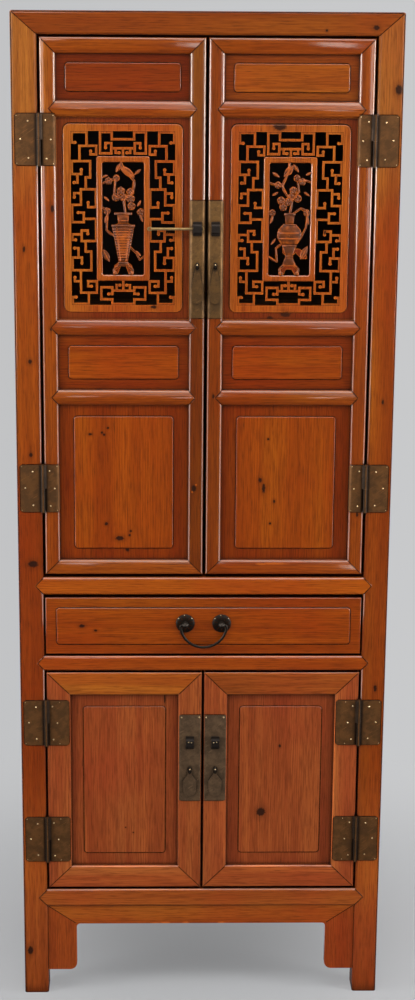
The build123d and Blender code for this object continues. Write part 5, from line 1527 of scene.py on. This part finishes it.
# Small nail heads of the lock fittings, and bright domes on the straps and the eyes that are
# painted glints: x, z, radius (mm).
HEADS_AND_GLINTS = {
    "upper": ((16.5, 1454.0, 1.1),),
    "lower": ((6.5, 581.5, 1.5), (40.5, 581.5, 1.5), (21.5, 533.0, 1.1), (27.0, 534.0, 1.0),
              (24.5, 477.5, 1.1)),
}


class CABINET_OT_hinges(Operator):
    """Hinge leaves and pins"""

    bl_idname = "cabinet.hinges"
    bl_label = "Hinges"

    def execute(self, context):
        metal = settings()[2]
        finish = tarnished("hinge_brass", metal.hinge_brass, knuckles=PIVOT_X * MM)
        leaves = [f"{level}_{side}_hinge_leaves" for level in ("upper", "lower") for side in SIDES]
        for node in leaves + ["post_hinge_leaves", "hinge_pins"]:
            dress(node, finish)
        return {"FINISHED"}


def nail_leaf(mesh, face, nails, side, outward, span):
    """Nails of one hinge leaf between the heights of span.

    side is -1 on the left of the cabinet and 1 on the right. outward is 1 for a leaf that
    lies beyond its pin, and -1 for one nearer the middle line.
    """
    metal = settings()[2]
    low, high = span
    for distance, height, size in nails:
        x = side * (PIVOT_X + outward * distance) * MM
        z = (low + (high - low) * height) * MM
        dome(mesh, x, face(x, z), z, metal.nail_radius * size, metal.nail_rise * size)


class CABINET_OT_nails(Operator):
    """Domed nails of the hinge leaves with painted glints at their corners, and small heads and painted
    glints of the lock fittings
    """

    bl_idname = "cabinet.nails"
    bl_label = "Nails"

    def execute(self, context):
        metal = settings()[2]
        finish = nail_and_glint_finish()
        on_posts = bmesh.new()
        post_face = surface_finder("post_hinge_leaves")
        for level, spans in HINGES.items():
            for side in SIDES:
                on_door = bmesh.new()
                door_face = surface_finder(f"{level}_{side}_hinge_leaves")
                for span in spans:
                    nail_leaf(on_posts, post_face, POST_NAILS, sign_of(side), 1, span)
                    nail_leaf(on_door, door_face, DOOR_NAILS, sign_of(side), -1, span)
                make_piece(f"{level}_{side}_hinge_nails", on_door, f"{level}_{side}_door", finish)
        make_piece("post_hinge_nails", on_posts, "cabinet", finish)
        self.glints(metal, finish)
        return {"FINISHED"}

    @staticmethod
    def glints(metal, finish):
        """Small nails of the lower lock plates, and bright domes on straps and eyes that are painted
        glints.
        """
        for level, places in HEADS_AND_GLINTS.items():
            for side in SIDES:
                mesh = bmesh.new()
                face = surface_finder(f"{level}_{side}_lock_plate", f"{level}_{side}_staples")
                for x, z, radius in places:
                    x = x * sign_of(side) * MM
                    dome(mesh, x, face(x, z * MM), z * MM, radius * MM, metal.nail_rise / 2)
                make_piece(f"{level}_{side}_small_heads", mesh, f"{level}_{side}_door", finish)


# Darker ovals on the lock plates: painted shade in the eyes of the pulls, and a darker lower half
# of the upper plates: x, z, half width, half height (mm), each with its strength.
UPPER_PLATE_DARKENING = tuple(
    dark_mark for x in (-16.5, 16.5)
    for dark_mark in (((x, 1448, 5, 9), 0.80), ((x, 1395, 26, 70), 0.34))
)
LOWER_PLATE_DARKENING = tuple(((x, 475, 6, 8), 0.70) for x in (-24.5, 24.5))


class CABINET_OT_locks(Operator):
    """Lock plates, staples, hanging pulls and the lock pin"""

    bl_idname = "cabinet.locks"
    bl_label = "Lock fittings"

    def execute(self, context):
        metal = settings()[2]
        upper = tarnished(
            "upper_plate_brass", metal.plate_brass, roughness=(0.38, 0.55), rub=0.55,
            dark_ovals=UPPER_PLATE_DARKENING,
        )
        lower = tarnished(
            "lower_plate_brass", metal.dark_plate, roughness=(0.42, 0.60), rub=0.65,
            dark_ovals=LOWER_PLATE_DARKENING,
        )
        straps = tarnished("strap_bronze", metal.strap_bronze, hammered=0.6)
        for level, finish in (("upper", upper), ("lower", lower)):
            for side in SIDES:
                dress(f"{level}_{side}_lock_plate", finish)
                dress(f"{level}_{side}_pull", finish)
                dress(f"{level}_{side}_staples", straps)
                soften(f"{level}_{side}_staples", metal.strap_round, segments=3)
        dress("lock_pin", tarnished("lock_pin_brass", metal.rod_brass, patina=0.3))
        return {"FINISHED"}


# Rosettes of the drawer handle (mm): their spread and height, dark lines that paint the shade of
# grooves between the lobes, and bright domes on the rim that paint glints.
ROSETTE_SPREAD, ROSETTE_Z = 69.0, 771.0
ROSETTE_LOBES = 10
ROSETTE_GROOVE = (8.5, 16.2)
ROSETTE_GLINTS = (38, 96, 142)            # directions in degrees
GLINT_RADIUS, GLINT_RISE = 0.9 * MM, 0.4 * MM


class CABINET_OT_drawer_handle(Operator):
    """Rosettes, posts and bail of the drawer handle, with painted shade in the rosettes' grooves and
    painted glints on their rims
    """

    bl_idname = "cabinet.drawer_handle"
    bl_label = "Drawer handle"

    def execute(self, context):
        metal = settings()[2]
        finish = tarnished("handle_bronze", metal.bail_bronze, roughness=(0.28, 0.45))
        for node in ("bail_rosettes", "bail_posts", "drawer_bail"):
            dress(node, finish)
        grooves, glints = bmesh.new(), bmesh.new()
        face = surface_finder("bail_rosettes")
        for side in SIDES:
            middle = Vector((sign_of(side) * ROSETTE_SPREAD / 2, ROSETTE_Z))
            for index in range(ROSETTE_LOBES):
                turn = 2 * math.pi * (index + 0.5) / ROSETTE_LOBES
                aim = Vector((math.cos(turn), math.sin(turn)))
                start, end = (middle + aim * reach for reach in ROSETTE_GROOVE)
                seam(grooves, face, start, end, settings()[1].seam_width)
            for degrees in ROSETTE_GLINTS:
                aim = Vector((math.cos(math.radians(degrees)), math.sin(math.radians(degrees))))
                spot = (middle + aim * ROSETTE_GROOVE[1]) * MM
                dome(glints, spot.x, face(spot.x, spot.y), spot.y, GLINT_RADIUS, GLINT_RISE)
        make_piece("rosette_grooves", grooves, "drawer", wax_and_shade_finish("groove_wax"),
                   False)
        make_piece("rosette_glints", glints, "drawer", nail_and_glint_finish())
        return {"FINISHED"}


# ------------------------------------------------------------------ panel and registration
STEPS = (
    "stage", "case", "inside", "door_frames", "panels", "fretwork", "seams", "wax_lines",
    "carvings", "drawer", "hinges", "nails", "locks", "drawer_handle",
)


class CABINET_PT_pieces(Panel):
    """Lists the steps that dress the cabinet"""

    bl_idname = "CABINET_PT_pieces"
    bl_label = "Book cabinet"
    bl_space_type = "VIEW_3D"
    bl_region_type = "UI"
    bl_category = "Cabinet"

    def draw(self, context):
        for step in STEPS:
            self.layout.operator("cabinet." + step)


CLASSES = (
    CABINET_PG_stage, CABINET_PG_wood, CABINET_PG_metal, CABINET_OT_stage, CABINET_OT_case,
    CABINET_OT_inside, CABINET_OT_door_frames, CABINET_OT_panels, CABINET_OT_fretwork,
    CABINET_OT_seams, CABINET_OT_wax_lines, CABINET_OT_carvings, CABINET_OT_drawer, CABINET_OT_hinges,
    CABINET_OT_nails, CABINET_OT_locks, CABINET_OT_drawer_handle, CABINET_PT_pieces,
)


def register():
    """Registers the classes and the scene's settings."""
    for item in CLASSES:
        bpy.utils.register_class(item)
    bpy.types.Scene.cabinet_stage = PointerProperty(type=CABINET_PG_stage)
    bpy.types.Scene.cabinet_wood = PointerProperty(type=CABINET_PG_wood)
    bpy.types.Scene.cabinet_metal = PointerProperty(type=CABINET_PG_metal)


def unregister():
    """Removes the scene's settings and the classes."""
    del bpy.types.Scene.cabinet_stage
    del bpy.types.Scene.cabinet_wood
    del bpy.types.Scene.cabinet_metal
    for item in reversed(CLASSES):
        bpy.utils.unregister_class(item)


def main():
    """Dresses the whole cabinet."""
    register()
    for step in STEPS:
        getattr(bpy.ops.cabinet, step)()


if __name__ == "__main__":
    main()
